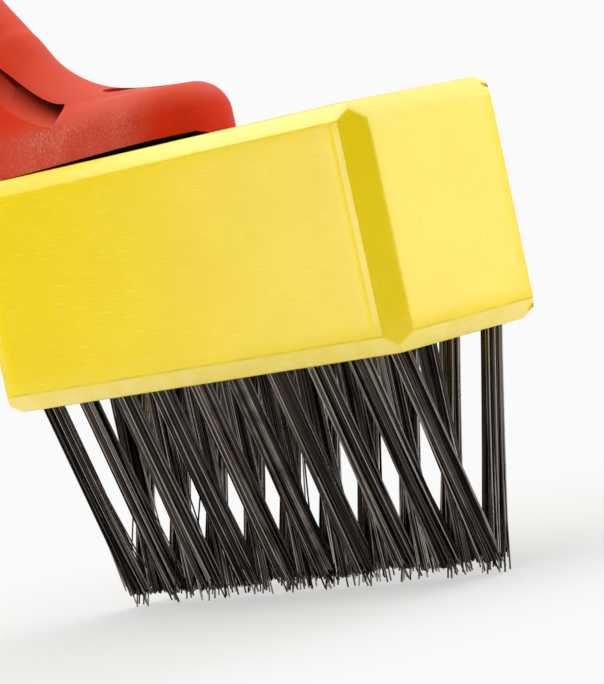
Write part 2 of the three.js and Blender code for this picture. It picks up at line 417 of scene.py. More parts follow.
@dataclass(frozen=True)
class Finish:
    """A real material with the surface that it was given."""

    name: str

    def make(self) -> bpy.types.Material:
        """Build the material.

        Returns:
            The material.
        """
        material = bpy.data.materials.new(self.name)
        material.use_nodes = True
        tree = material.node_tree
        tree.nodes.clear()
        add_node(tree, "OutputMaterial", {"Surface": self.lay(tree)})
        return material

    def lay(self, tree: bpy.types.NodeTree) -> bpy.types.Node:
        """Lay the nodes of the surface.

        Args:
            tree: The material's node tree.

        Returns:
            The shader.
        """
        raise NotImplementedError


@dataclass(frozen=True)
class PaintedBeech(Finish):
    """Beech dipped in yellow paint: semi-gloss, with the grain and pores showing through."""

    name: str = "Painted beech, dipped"
    paint: str = "#EDD00A"
    thick_paint: str = "#E9CB06"
    thin_paint: str = "#F1D722"
    pooled_paint: str = "#F0D400"
    # Pale rubbed paint, which also paints highlights and light bounced from the floor.
    rubbed_paint: str = "#FAE88E"
    fleck: str = "#D2B618"
    bare_wood: str = "#8F6A32"
    grime: str = "#B0901E"
    ring_spacing: float = 2.6
    pith: tuple[float, float, float] = (0, -70, -90)
    sway: float = 4.0
    sway_length: float = 30.0
    grain_slope: float = 5.4
    # Real fibres and ray flecks are about a tenth of a millimetre wide, too fine for the render,
    # so both are drawn some five times as coarse.
    fibre_width: float = 0.5
    fibre_length: float = 5.0
    fleck_width: float = 0.55
    fleck_length: float = 3.2
    end_grain: tuple[float, float] = (0.75, 0.95)  # how far a face looks along the block
    blotch: float = 24.0
    drift: float = 7.0
    grit: float = 0.9
    roughness: float = 0.22
    ior: float = 1.48

    def lay(self, tree: bpy.types.NodeTree) -> bpy.types.Node:
        """Lay the nodes of the painted wood.

        Args:
            tree: The material's node tree.

        Returns:
            The shader.
        """
        place = add_node(tree, "TexCoord").outputs["Object"]

        # Growth rings round a pith that lies beside the block: lines along it, steep arcs on its
        # ends. A wave repeats after pi / 10 over its scale.
        warp = add_node(tree, "TexNoise", {
            "Vector": place, "Scale": 1 / (self.sway_length * MM), "Detail": 2})
        bent = add_node(tree, "VectorMath", {
            0: warp.outputs["Color"], 1: (self.sway * MM,) * 3}, operation="MULTIPLY")
        swayed = add_node(tree, "VectorMath", {0: place, 1: bent}, operation="ADD")
        pith = add_node(tree, "Mapping", {"Vector": swayed, "Location": Vector(self.pith) * MM})
        rings = add_node(tree, "TexWave", {
            "Vector": pith, "Scale": math.pi / 10 / (self.ring_spacing * MM),
            "Distortion": 3.5, "Detail": 3, "Detail Scale": 0.6,
        }, wave_type="RINGS", rings_direction="X").outputs["Fac"]

        # Fibres and ray flecks, along the block but on a slight slope, as it was sawn.
        slope = (0, math.radians(self.grain_slope), 0)
        stretched = add_node(tree, "Mapping", {"Vector": swayed, "Rotation": slope, "Scale": (
            self.fibre_length * MM, self.fibre_width * MM, self.fibre_width * MM,
        )}, vector_type="TEXTURE")
        fibres = add_node(tree, "TexNoise", {
            "Vector": stretched, "Scale": 1, "Detail": 3, "Roughness": 0.6})
        dashed = add_node(tree, "Mapping", {"Vector": place, "Rotation": slope, "Scale": (
            self.fleck_length * MM, self.fleck_width * MM, self.fleck_width * MM,
        )}, vector_type="TEXTURE")
        dashes = add_node(tree, "TexNoise", {
            "Vector": dashed, "Scale": 1, "Detail": 1, "Roughness": 0.4})
        flecks = add_node(tree, "MapRange", {
            "Value": dashes, "From Min": 0.68, "From Max": 0.8, "To Max": 0.22})

        # On the sawn ends the paint fills the cut fibres, and the rings show a little more.
        facing = add_node(tree, "SeparateXYZ", {0: add_node(tree, "TexCoord").outputs["Normal"]})
        endwise = add_node(tree, "Math", {0: facing.outputs["X"]}, operation="ABSOLUTE")
        calm, ring_share = [add_node(tree, "MapRange", {
            "Value": endwise, "From Min": self.end_grain[0], "From Max": self.end_grain[1],
            "To Min": on_sides, "To Max": on_ends,
        }) for on_sides, on_ends in ((1.0, 0.3), (0.07, 0.2))]
        centred = add_node(tree, "Math", {0: fibres, 1: 0.5}, operation="SUBTRACT")
        calmed = add_node(tree, "Math", {0: centred, 1: calm, 2: 0.5}, operation="MULTIPLY_ADD")

        # Paint that pooled and ran thin in soft patches.
        patches = add_node(tree, "TexNoise", {
            "Vector": place, "Scale": 1 / (self.blotch * MM), "Detail": 3, "Roughness": 0.55})
        mixed = add_node(tree, "Math", {0: calmed, 1: patches}, operation="ADD")
        ringed = add_node(tree, "Math", {0: rings, 1: ring_share, 2: mixed},
                          operation="MULTIPLY_ADD")
        depth = add_node(tree, "MapRange", {"Value": ringed, "From Min": 0.65, "From Max": 1.5})
        colour = add_node(tree, "ValToRGB", {"Fac": depth}, stops=(
            (0.0, self.thick_paint), (0.5, self.paint), (1.0, self.thin_paint)))
        worn = add_node(tree, "Mix", {"Factor": flecks, 6: colour, 7: linear(self.fleck)},
                        data_type="RGBA")

        # Paint that pooled in the groove, was rubbed thin on the arrises and took dirt there;
        # the pale colour also paints highlights on arrises and bounce light on lower chamfers.
        drift = add_node(tree, "TexNoise", {
            "Vector": place, "Scale": 1 / (self.drift * MM), "Detail": 2})
        for name, code, least, most in (("pooled", self.pooled_paint, 0.9, 1.0),
                                        ("rubbed", self.rubbed_paint, 0.5, 0.9),
                                        ("grime", self.grime, 0.12, 0.36)):
            here = add_node(tree, "Attribute", attribute_name=name).outputs["Fac"]
            uneven = add_node(tree, "MapRange", {
                "Value": drift, "From Min": 0.4, "From Max": 0.62,
                "To Min": least, "To Max": most})
            amount = add_node(tree, "Math", {0: here, 1: uneven}, operation="MULTIPLY")
            worn = add_node(tree, "Mix", {"Factor": amount, 6: worn, 7: linear(code)},
                            data_type="RGBA")

        # Bare wood, ragged at its edge, in the holes and where a corner was chipped.
        grit = add_node(tree, "TexNoise", {
            "Vector": place, "Scale": 1 / (self.grit * MM), "Detail": 3})
        bare = add_node(tree, "Attribute", attribute_name="bare").outputs["Fac"]
        chipped = add_node(tree, "Math", {0: bare, 1: grit}, operation="MULTIPLY")
        shown = add_node(tree, "MapRange", {"Value": chipped, "From Min": 0.3, "From Max": 0.42})
        worn = add_node(tree, "Mix", {"Factor": shown, 6: worn, 7: linear(self.bare_wood)},
                        data_type="RGBA")

        sheen = add_node(tree, "MapRange", {
            "Value": fibres, "From Min": 0.3, "From Max": 0.7,
            "To Min": self.roughness - 0.05, "To Max": self.roughness + 0.08})
        raised = add_node(tree, "Bump", {
            "Height": calmed, "Strength": 0.35, "Distance": 0.04 * MM})
        ridged = add_node(tree, "Bump", {
            "Height": rings, "Strength": 0.2, "Distance": 0.03 * MM, "Normal": raised})
        pitted = add_node(tree, "Bump", {
            "Height": flecks, "Strength": 0.4, "Distance": -0.05 * MM, "Normal": ridged})
        return add_node(tree, "BsdfPrincipled", {
            "Base Color": worn, "Roughness": sheen, "Normal": pitted, "IOR": self.ior})


@dataclass(frozen=True)
class MouldedPolypropylene(Finish):
    """Red polypropylene from a spark-eroded mould: dull, faintly grained, scuffed by handling."""

    name: str = "Polypropylene, moulded red"
    red: str = "#CA2D0E"
    deep_red: str = "#BD2509"
    scuff: str = "#D39486"
    # Pale haze on the flanks, partly rubbed plastic and partly a painted sheen.
    haze_and_sheen: str = "#B45340"
    # Pale dust on top faces, which also paints the sheen of the light from above.
    dust_and_sheen: str = "#F49C78"
    # Near-black painted shade for the pockets' slots and the underside near the seat.
    dirt: str = "#280804"
    cloud: float = 14.0
    # The mould's grain and the scuffs are about a twentieth of a millimetre wide, too fine for
    # the render, so both are drawn some ten times as coarse.
    grain: float = 0.5
    speck: float = 0.38
    # Levels between which the painted shade on the underside fades out.
    shade_level: float = 128.0  # over the floor, just above the block's top
    unshaded_level: float = 132.0
    roughness: float = 0.48
    ior: float = 1.49
    specular: float = 0.07

    def lay(self, tree: bpy.types.NodeTree) -> bpy.types.Node:
        """Lay the nodes of the moulded plastic.

        Args:
            tree: The material's node tree.

        Returns:
            The shader.
        """
        place = add_node(tree, "TexCoord").outputs["Object"]
        clouds = add_node(tree, "TexNoise", {
            "Vector": place, "Scale": 1 / (self.cloud * MM), "Detail": 4, "Roughness": 0.6})
        colour = add_node(tree, "ValToRGB", {"Fac": clouds}, stops=(
            (0.3, self.deep_red), (0.62, self.red)))

        # A pale haze on the flanks, partly rubbed plastic and partly painted sheen, and pale specks
        # of scuffs.
        rubbed = add_node(tree, "Attribute", attribute_name="rubbed").outputs["Fac"]
        sheen_haze = add_node(tree, "Math", {0: rubbed, 1: clouds}, operation="MULTIPLY")
        upright = add_node(tree, "Mapping", {"Vector": place, "Scale": (1.0, 1.0, 0.45)})
        specks = add_node(tree, "TexNoise", {
            "Vector": upright, "Scale": 1 / (self.speck * MM), "Detail": 2, "Roughness": 0.7})
        reach = add_node(tree, "MapRange", {"Value": sheen_haze, "To Min": -0.1, "To Max": 0.14})
        summed = add_node(tree, "Math", {0: specks, 1: reach}, operation="ADD")
        scuffed = add_node(tree, "MapRange", {
            "Value": summed, "From Min": 0.58, "From Max": 0.74, "To Max": 0.6})

        # A film of pale dust on what looks up, which also paints the sheen of the light from above.
        facing = add_node(tree, "SeparateXYZ", {0: add_node(tree, "TexCoord").outputs["Normal"]})
        dust_and_top_light = add_node(tree, "MapRange", {
            "Value": facing.outputs["Z"], "From Min": 0.2, "From Max": 0.9, "To Max": 0.13})

        # Painted shade: near-black deep in the pockets' slots and on down-facing faces near the
        # seat.
        in_slot = add_node(tree, "Attribute", attribute_name="dirt").outputs["Fac"]
        under = add_node(tree, "MapRange", {
            "Value": facing.outputs["Z"], "From Min": -0.6, "From Max": -0.9})
        level = add_node(tree, "SeparateXYZ", {0: place})
        low = add_node(tree, "MapRange", {
            "Value": level.outputs["Z"], "From Min": self.unshaded_level * MM,
            "From Max": self.shade_level * MM})
        seat = add_node(tree, "Math", {0: under, 1: low}, operation="MULTIPLY")
        shade_amount = add_node(tree, "Math", {0: in_slot, 1: seat}, operation="MAXIMUM")
        for amount, code in ((sheen_haze, self.haze_and_sheen), (scuffed, self.scuff), (dust_and_top_light, self.dust_and_sheen),
                             (shade_amount, self.dirt)):
            colour = add_node(tree, "Mix", {"Factor": amount, 6: colour, 7: linear(code)},
                              data_type="RGBA")

        gloss = add_node(tree, "MapRange", {
            "Value": clouds, "From Min": 0.3, "From Max": 0.7,
            "To Min": self.roughness - 0.05, "To Max": self.roughness + 0.08})
        grain = add_node(tree, "TexNoise", {
            "Vector": place, "Scale": 1 / (self.grain * MM), "Detail": 2})
        bump = add_node(tree, "Bump", {"Height": grain, "Strength": 0.3, "Distance": 0.06 * MM})
        return add_node(tree, "BsdfPrincipled", {
            "Base Color": colour, "Roughness": gloss, "Normal": bump, "IOR": self.ior,
            "Specular IOR Level": self.specular})


@dataclass(frozen=True)
class TemperedWire(Finish):
    """Oil-tempered drawn steel wire: nearly black, with brown and grey glints along each wire."""

    name: str = "Steel wire, oil tempered"
    dark: str = "#131110"
    brown: str = "#60564F"
    grey: str = "#A59D96"
    draw_mark: float = 6.0
    mark_share: float = 0.35
    roughness: float = 0.3

    def lay(self, tree: bpy.types.NodeTree) -> bpy.types.Node:
        """Lay the nodes of the wire.

        Args:
            tree: The material's node tree.

        Returns:
            The shader.
        """
        place = add_node(tree, "TexCoord").outputs["Object"]
        tone = add_node(tree, "Attribute", attribute_name="tone").outputs["Fac"]
        marks = add_node(tree, "TexNoise", {
            "Vector": place, "Scale": 1 / (self.draw_mark * MM), "Detail": 3})
        mixed = add_node(tree, "Math", {0: marks, 1: self.mark_share, 2: tone},
                         operation="MULTIPLY_ADD")
        colour = add_node(tree, "ValToRGB", {"Fac": mixed}, stops=(
            (0.2, self.dark), (0.85, self.brown), (1.0, self.grey)))
        gloss = add_node(tree, "MapRange", {
            "Value": marks, "From Min": 0.3, "From Max": 0.7,
            "To Min": self.roughness - 0.08, "To Max": self.roughness + 0.1})
        return add_node(tree, "BsdfPrincipled", {
            "Base Color": colour, "Roughness": gloss, "Metallic": 1.0})


@dataclass(frozen=True)
class ZincPlate(Finish):
    """Bright zinc on steel: cool grey, faintly cloudy."""

    name: str = "Steel, zinc plated"
    bright: str = "#C3C6C9"
    dull: str = "#9DA1A6"
    cloud: float = 1.6
    roughness: float = 0.3

    def lay(self, tree: bpy.types.NodeTree) -> bpy.types.Node:
        """Lay the nodes of the zinc plate.

        Args:
            tree: The material's node tree.

        Returns:
            The shader.
        """
        place = add_node(tree, "TexCoord").outputs["Object"]
        clouds = add_node(tree, "TexNoise", {
            "Vector": place, "Scale": 1 / (self.cloud * MM), "Detail": 5})
        colour = add_node(tree, "ValToRGB", {"Fac": clouds}, stops=(
            (0.35, self.dull), (0.65, self.bright)))
        gloss = add_node(tree, "MapRange", {
            "Value": clouds, "To Min": self.roughness - 0.1, "To Max": self.roughness + 0.15})
        return add_node(tree, "BsdfPrincipled", {
            "Base Color": colour, "Roughness": gloss, "Metallic": 1.0})


@dataclass(frozen=True)
class PaleFloor(Finish):
    """Matt white paper: takes the soft shadow near the brush and fades to plain white around it."""

    name: str = "Paper, matt white"
    white: str = "#EEEEEE"
    shown: str = "#D7D7D7"
    near: float = 85.0
    far: float = 210.0
    lift: float = 0.45
    plain: float = 0.955
    roughness: float = 0.9
    specular: float = 0.1

    def lay(self, tree: bpy.types.NodeTree) -> bpy.types.Node:
        """Lay the nodes of the floor's paper.

        Args:
            tree: The material's node tree.

        Returns:
            The shader.
        """
        seen = seen_as_backdrop(tree)
        colour = add_node(tree, "Mix", {
            "Factor": seen, 6: linear(self.white), 7: linear(self.shown)}, data_type="RGBA")
        paper = add_node(tree, "BsdfPrincipled", {
            "Base Color": colour, "Roughness": self.roughness,
            "Specular IOR Level": self.specular})
        away = add_node(tree, "VectorMath", {0: add_node(tree, "TexCoord").outputs["Object"]},
                        operation="LENGTH")
        fade = add_node(tree, "MapRange", {
            "Value": away, "From Min": self.near * MM, "From Max": self.far * MM,
            "To Min": self.lift}, interpolation_type="SMOOTHSTEP")
        share = add_node(tree, "Math", {0: fade, 1: seen}, operation="MULTIPLY")
        plain = add_node(tree, "Emission", {"Color": (1, 1, 1, 1), "Strength": self.plain})
        return add_node(tree, "MixShader", {0: share, 1: paper, 2: plain})


@dataclass(frozen=True)
class BlackVelvet(Finish):
    """Black flock: a dark side of the studio, which keeps facing colours deep."""

    name: str = "Velvet, black"
    black: str = "#141414"

    def lay(self, tree: bpy.types.NodeTree) -> bpy.types.Node:
        """Lay the nodes of the flag's cloth.

        Args:
            tree: The material's node tree.

        Returns:
            The shader.
        """
        return add_node(tree, "BsdfPrincipled", {
            "Base Color": linear(self.black), "Roughness": 1.0})


@dataclass
class TuftLayout:
    """Where the tufts stand: shared by the block's holes and the wires."""

    side_margin: float = 11.5
    tip_offset: float = -0.5
    hole_diameter: float = 5.8
    hole_depth: float = 22.0
    places: list[tuple[str, Vector, Vector]] = field(default_factory=list)

    def __post_init__(self) -> None:
        """Read each tuft's place along the block from its solid, and its lean from its row."""
        low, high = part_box("brush_block")
        offset = high.y - self.side_margin * MM
        for name in sorted(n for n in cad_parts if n.startswith("tuft_")):
            row = Row[name.split("_")[1].upper()]
            first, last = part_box(name)
            x = (first.x + last.x) / 2
            root = Vector((x, row.value * offset, low.z))
            tip = Vector((x, row.value * self.tip_offset * MM, 0))
            self.places.append((name, root, tip))


@dataclass
class WoodenBlock:
    """The painted block: bevelled all round, corners cut off, drilled for the tufts."""

    layout: TuftLayout
    edge_chamfer: float = 5.0
    long_upper_chamfer: float = 4.4
    corner_chamfer: float = 5.6
    edge_round: float = 0.48
    # Beside each corner facet the long face has a flat strip, a sharp lip and a shallow groove.
    strip_width: float = 1.6
    strip_fall: float = 0.12
    lip_width: float = 0.3
    groove_width: float = 2.4
    groove_run: float = 1.5
    groove_depth: float = 0.2
    groove_line: float = 0.5  # an extra line in the net, past the strip, keeps the lip crisp
    mesh_step: float = 4.8
    waviness: float = 0.12
    waves: tuple[tuple[float, float], ...] = ((26.0, 0.7), (11.0, 0.3))  # length and share
    chip_reach: float = 1.15
    chip_stretch: float = 2.2
    chip_inset: tuple[float, float, float] = (0.3, 0.7, 0.5)  # shares of the chamfers
    chip_halo: float = 1.6  # how far paint is lost round a chip, as a share of its reach
    chips: tuple[tuple[int, int, int], ...] = ((1, 1, 1), (1, 1, -1))
    drill_overshoot: float = 6.0
    drill_flare: float = 1.05
    drill_point: float = 1.6
    drill_sides: int = 20
    wall_start: float = 0.4  # below it, the wall of a hole is bare
    wall_reach: float = 0.6  # from a hole's axis, as a share of its diameter
    # How near a vertex lies to what it is marked for.
    arris_sink: tuple[float, float] = (0.008, 0.2)  # under the planes that meet in an arris
    crease_reach: float = 0.3
    chamfer_reach: float = 0.03
    strip_reach: float = 0.4
    groove_reach: float = 0.8
    # Levels, as shares of the way from the block's middle to the chamfers.
    rim_level: float = 0.9
    strip_level: float = 0.98
    line_level: float = 0.04
    # How far the paint is rubbed off or lightened as painted highlight and bounce light, and how
    # dirty it is, from 0 to 1.
    strip_rub_and_highlight: float = 0.28
    upper_highlight: float = 0.8
    lower_thin_and_bounce: float = 0.6
    upper_grime: float = 0.6
    smooth_below: float = 20.0
    middle: Vector = field(init=False)
    half: Vector = field(init=False)

    def __post_init__(self) -> None:
        """Take the block's place and size from its solid."""
        low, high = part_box("brush_block")
        self.middle, self.half = (low + high) / 2, (high - low) / 2

    def build(self) -> bpy.types.Object:
        """Model the block.

        Returns:
            The block, with its holes.
        """
        clear_selection()
        bpy.ops.mesh.primitive_cube_add(size=2, location=self.middle, scale=self.half)
        block = named("painted_block")
        for distance, outward in self._planes():
            with edit_mode(block):
                bpy.ops.mesh.bisect(plane_co=self.middle + outward * distance, plane_no=outward,
                                    use_fill=True, clear_outer=True)
        with edit_mode(block, Element.EDGE):
            bpy.ops.mesh.bevel(offset=self.edge_round * MM, segments=3, profile=0.5,
                               affect="EDGES")
        self._chip_corners(block)
        self._score(block)
        cut_out(block, self._drills())
        self._mark_bare(block)
        self._mark_wear_and_light(block)
        self._weather(block)
        return block

    def _planes(self) -> list[tuple[float, Vector]]:
        """List the planes of the chamfers and corner facets.

        Returns:
            Each plane's distance from the block's middle and its outward normal.
        """
        diagonal = math.sqrt(0.5)
        edge, upper, corner = self.edge_chamfer, self.long_upper_chamfer, self.corner_chamfer
        planes = []
        for side in (1, -1):
            for signs, chamfer in (((side, 0, 1), edge), ((0, side, 1), upper),
                                   ((side, 0, -1), edge), ((0, side, -1), edge),
                                   ((side, 1, 0), corner), ((side, -1, 0), corner)):
                reach = sum(half * abs(sign) for half, sign in zip(self.half, signs))
                planes.append(((reach - chamfer * MM) * diagonal, Vector(signs) * diagonal))
        return planes

    def _groove(self) -> tuple[float, ...]:
        """Follow the long face from a corner facet.

        Returns:
            Distances of the facet, the strip's edge, the lip's foot, the groove's bottom and its
            end.
        """
        bottom = self.strip_width + self.groove_width
        return (0.0, self.strip_width, self.strip_width + self.lip_width, bottom,
                bottom + self.groove_run)

    def _corner(self, signs: tuple[int, int, int]) -> Vector:
        """Find a chip's place, on the edge of a corner facet, where it meets a chamfer.

        Args:
            signs: Which corner it is.

        Returns:
            The chip's middle.
        """
        chamfers = (self.corner_chamfer, self.corner_chamfer, self.edge_chamfer)
        return self.middle + Vector([
            sign * (half - share * chamfer * MM) for sign, half, share, chamfer
            in zip(signs, self.half, self.chip_inset, chamfers)])

    def _chip_corners(self, block: bpy.types.Object) -> None:
        """Knock small chips off the corners that took a blow, longer along the facet's edge.

        Args:
            block: The block.
        """
        for signs in self.chips:
            corner = self._corner(signs)
            clear_selection()
            bpy.ops.mesh.primitive_ico_sphere_add(subdivisions=1, radius=self.chip_reach * MM,
                                                  location=corner)
            chip = named("chip")
            finish_with(chip, "SUBSURF", levels=1, render_levels=1, subdivision_type="SIMPLE")
            turn = signs[0] * signs[1] * math.pi / 4
            with edit_mode(chip):
                bpy.ops.transform.rotate(value=-turn, orient_axis="Z", center_override=corner)
                bpy.ops.transform.resize(value=(1.0, self.chip_stretch, 1.0),
                                         center_override=corner)
                bpy.ops.transform.rotate(value=turn, orient_axis="Z", center_override=corner)
            cut_out(block, chip)

    def _score(self, block: bpy.types.Object) -> None:
        """Cut the faces into a net that is fine enough to bend.

        Args:
            block: The block.
        """
        facet = self.half.x - self.corner_chamfer * MM
        grooved = (*self._groove()[1:], self.strip_width + self.groove_line)
        grooves = [sign * (facet - d * MM) for sign in (-1, 1) for d in grooved]
        with edit_mode(block):
            for axis in range(3):
                outward = Vector([float(axis == i) for i in range(3)])
                reach = self.half[axis]
                steps = int(2 * reach / (self.mesh_step * MM))
                lines = list(np.linspace(-reach, reach, steps + 1)[1:-1])
                for line in lines + (grooves if axis == 0 else []):
                    bpy.ops.mesh.select_all(action="SELECT")
                    bpy.ops.mesh.bisect(plane_co=self.middle + outward * float(line),
                                        plane_no=outward)

    def _drills(self) -> bpy.types.Object:
        """Make the drills that cut the tuft holes.

        Returns:
            One object with a copy of the drill for each tuft.
        """
        radius, depth = self.layout.hole_diameter / 2, self.layout.hole_depth
        steps = [(radius * self.drill_flare, -self.drill_overshoot), (radius, 1.0),
                 (radius, depth), (radius * 0.1, depth + self.drill_point)]
        drill = turned("drill", steps, Vector(), UP, self.drill_sides)
        drills = []
        for _, root, tip in self.layout.places:
            turn = UP.rotation_difference((root - tip).normalized()).to_matrix().to_4x4()
            drills.append(copied(drill, "drill", Matrix.Translation(root) @ turn))
        bpy.data.objects.remove(drill)
        return merged("drills", drills)

    def _mark_bare(self, block: bpy.types.Object) -> None:
        """Mark the chips and the walls of the holes, where there is no paint.

        Args:
            block: The block.
        """
        points = coordinates(block)
        bare = np.zeros(len(points))
        for signs in self.chips:
            away = np.linalg.norm(points - np.array(self._corner(signs)), axis=1)
            lost = self.chip_halo - away / (self.chip_reach * MM)
            bare = np.maximum(bare, np.clip(lost, 0, 1))
        for _, root, tip in self.layout.places:
            axis = np.array((root - tip).normalized())
            offset = points - np.array(root)
            depth = offset @ axis
            away = np.linalg.norm(offset - depth[:, None] * axis, axis=1)
            end = self.layout.hole_depth + 2 * self.drill_point
            bored = (depth > self.wall_start * MM) & (depth < end * MM)
            bare[bored & (away < self.layout.hole_diameter * self.wall_reach * MM)] = 1.0
        mark(block, "bare", bare)

    def _mark_wear_and_light(self, block: bpy.types.Object) -> None:
        """Mark pooled paint, thin paint with painted highlight and bounce light, and dirt.

        Args:
            block: The block, before its faces wander.
        """
        points = coordinates(block) - np.array(self.middle)
        inward = np.array(self.half) - np.abs(points)
        sinks = [(outward.z, distance - points @ np.array(outward))
                 for distance, outward in self._planes()]
        sunk = np.minimum(np.min([sink for _, sink in sinks], axis=0), inward.min(axis=1))
        arris = (sunk > self.arris_sink[0] * MM) & (sunk < self.arris_sink[1] * MM)
        level = points[:, 2] / (self.half.z - self.edge_chamfer * MM)

        from_facet = inward[:, 0] / MM - self.corner_chamfer
        on_face = (inward[:, 1] < self.strip_reach * MM) & (from_facet > -0.05)
        band = np.interp(from_facet, self._groove(), (0, 0, 0.7, 1, 0))
        mark(block, "pooled", np.where(on_face, band, 0))

        strip = np.interp(from_facet, self._groove(), (1, 1, 0, 0, 0))
        strip[~on_face | (np.abs(level) >= self.strip_level)] = 0
        # Painted highlight on the end's top rim and upper creases, painted bounce light on the
        # lower chamfers, over thin paint.
        end_rim = arris & (inward[:, 0] < MM) & (level > self.rim_level)
        over = np.sort([sink for z, sink in sinks if z > 0], axis=0)
        under = np.sort([sink for z, sink in sinks if z < 0], axis=0)
        crease = over[1] < self.crease_reach * MM
        below = (under[0] < self.chamfer_reach * MM) | (under[1] < self.crease_reach * MM)
        thin_and_lit = strip * self.strip_rub_and_highlight + self.upper_highlight * (end_rim | crease)
        mark(block, "rubbed", np.clip(thin_and_lit + self.lower_thin_and_bounce * below, 0, 1))

        long_line = arris & (inward[:, :2].max(axis=1) / MM > self.corner_chamfer)
        upper = (level > self.rim_level) & (inward[:, 1] < inward[:, 0])
        lower = np.abs(level + 1) < self.line_level
        mark(block, "grime", long_line * np.where(lower, 1.0, self.upper_grime * upper))

    def _weather(self, block: bpy.types.Object) -> None:
        """Let the faces wander a little inwards, and groove the long ones beside the facets.

        Args:
            block: The block.
        """
        points = coordinates(block)
        normals = np.empty(len(points) * 3)
        block.data.vertices.foreach_get("normal", normals)
        depth = np.array([sum(share * noise.noise(Vector(p) / (length * MM))
                              for length, share in self.waves) for p in points])
        sunk = (depth + 1) * 0.5 * self.waviness * MM
        moved = points - normals.reshape(-1, 3) * sunk[:, None]
        offset = points - np.array(self.middle)
        inward = (np.array(self.half) - np.abs(offset)) / MM
        from_facet = inward[:, 0] - self.corner_chamfer
        hollow = np.interp(from_facet, self._groove(),
                           (self.strip_fall, 0, 0, self.groove_depth, 0))
        hollow[(from_facet < 0) | (inward[:, 1] > self.groove_reach)] = 0
        moved[:, 1] -= np.sign(offset[:, 1]) * hollow * MM
        place_vertices(block, moved)

    def dress(self, block: bpy.types.Object, material: bpy.types.Material) -> None:
        """Give the block its finish."""
        hand_over(block, Slot.PAINT, material, self.smooth_below, "brush_block")


@dataclass
class HoleSplinters:
    """Slivers of painted wood that the drill tore up at the mouths of the holes."""

    layout: TuftLayout
    count: int = 3
    length: float = 1.3
    thickness: float = 0.22
    flatness: float = 0.4
    curl: float = 0.3
    rim_gap: float = 0.25
    sunk: float = 0.4
    taper: tuple[tuple[float, float], ...] = ((0, 1.0), (0.35, 0.9), (0.7, 0.55), (1, 0.12))
    smooth_below: float = 40.0
    seed: int = 5

    def build(self) -> bpy.types.Object:
        """Model the slivers.

        Returns:
            All slivers as one piece.
        """
        rng = np.random.default_rng(self.seed)
        slivers = []
        for _, root, _ in self.layout.places:
            for _ in range(int(rng.integers(1, self.count + 1))):
                slivers.append(self._sliver(rng, root))
        return merged("hole_splinters", slivers)

    def _sliver(self, rng: np.random.Generator, root: Vector) -> bpy.types.Object:
        """Model one sliver: a bent, tapering flake that stands off the hole's rim.

        Args:
            rng: The source of chance.
            root: The middle of the hole's mouth.

        Returns:
            The sliver.
        """
        angle = rng.uniform(0, 2 * math.pi)
        out = np.array((math.cos(angle), math.sin(angle), 0))
        side = np.array((-out[1], out[0], 0))
        start = (np.array(root) + out * (self.layout.hole_diameter / 2 + self.rim_gap) * MM
                 + (0, 0, self.sunk * MM))
        lean = out * rng.uniform(-0.3, 0.6) + side * rng.uniform(-0.9, 0.9) + (0, 0, -1)
        reach = rng.uniform(0.5, 1.0) * self.length * MM
        rings = []
        for along, width in self.taper:
            centre = start + lean * reach * along + out * reach * self.curl * along ** 2
            wide = side * width * self.thickness * MM
            thick = out * width * self.thickness * self.flatness * MM
            rings.append([centre + wide, centre + thick, centre - wide, centre - thick])
        return lofted("sliver", np.array(rings))

    def dress(self, slivers: bpy.types.Object, material: bpy.types.Material) -> None:
        """Give the slivers the block's finish, with no wear.

        Args:
            slivers: The slivers.
            material: The block's finish.
        """
        for name in ("bare", "pooled", "rubbed", "grime"):
            mark(slivers, name, np.zeros(len(slivers.data.vertices)))
        hand_over(slivers, Slot.PAINT, material, self.smooth_below)


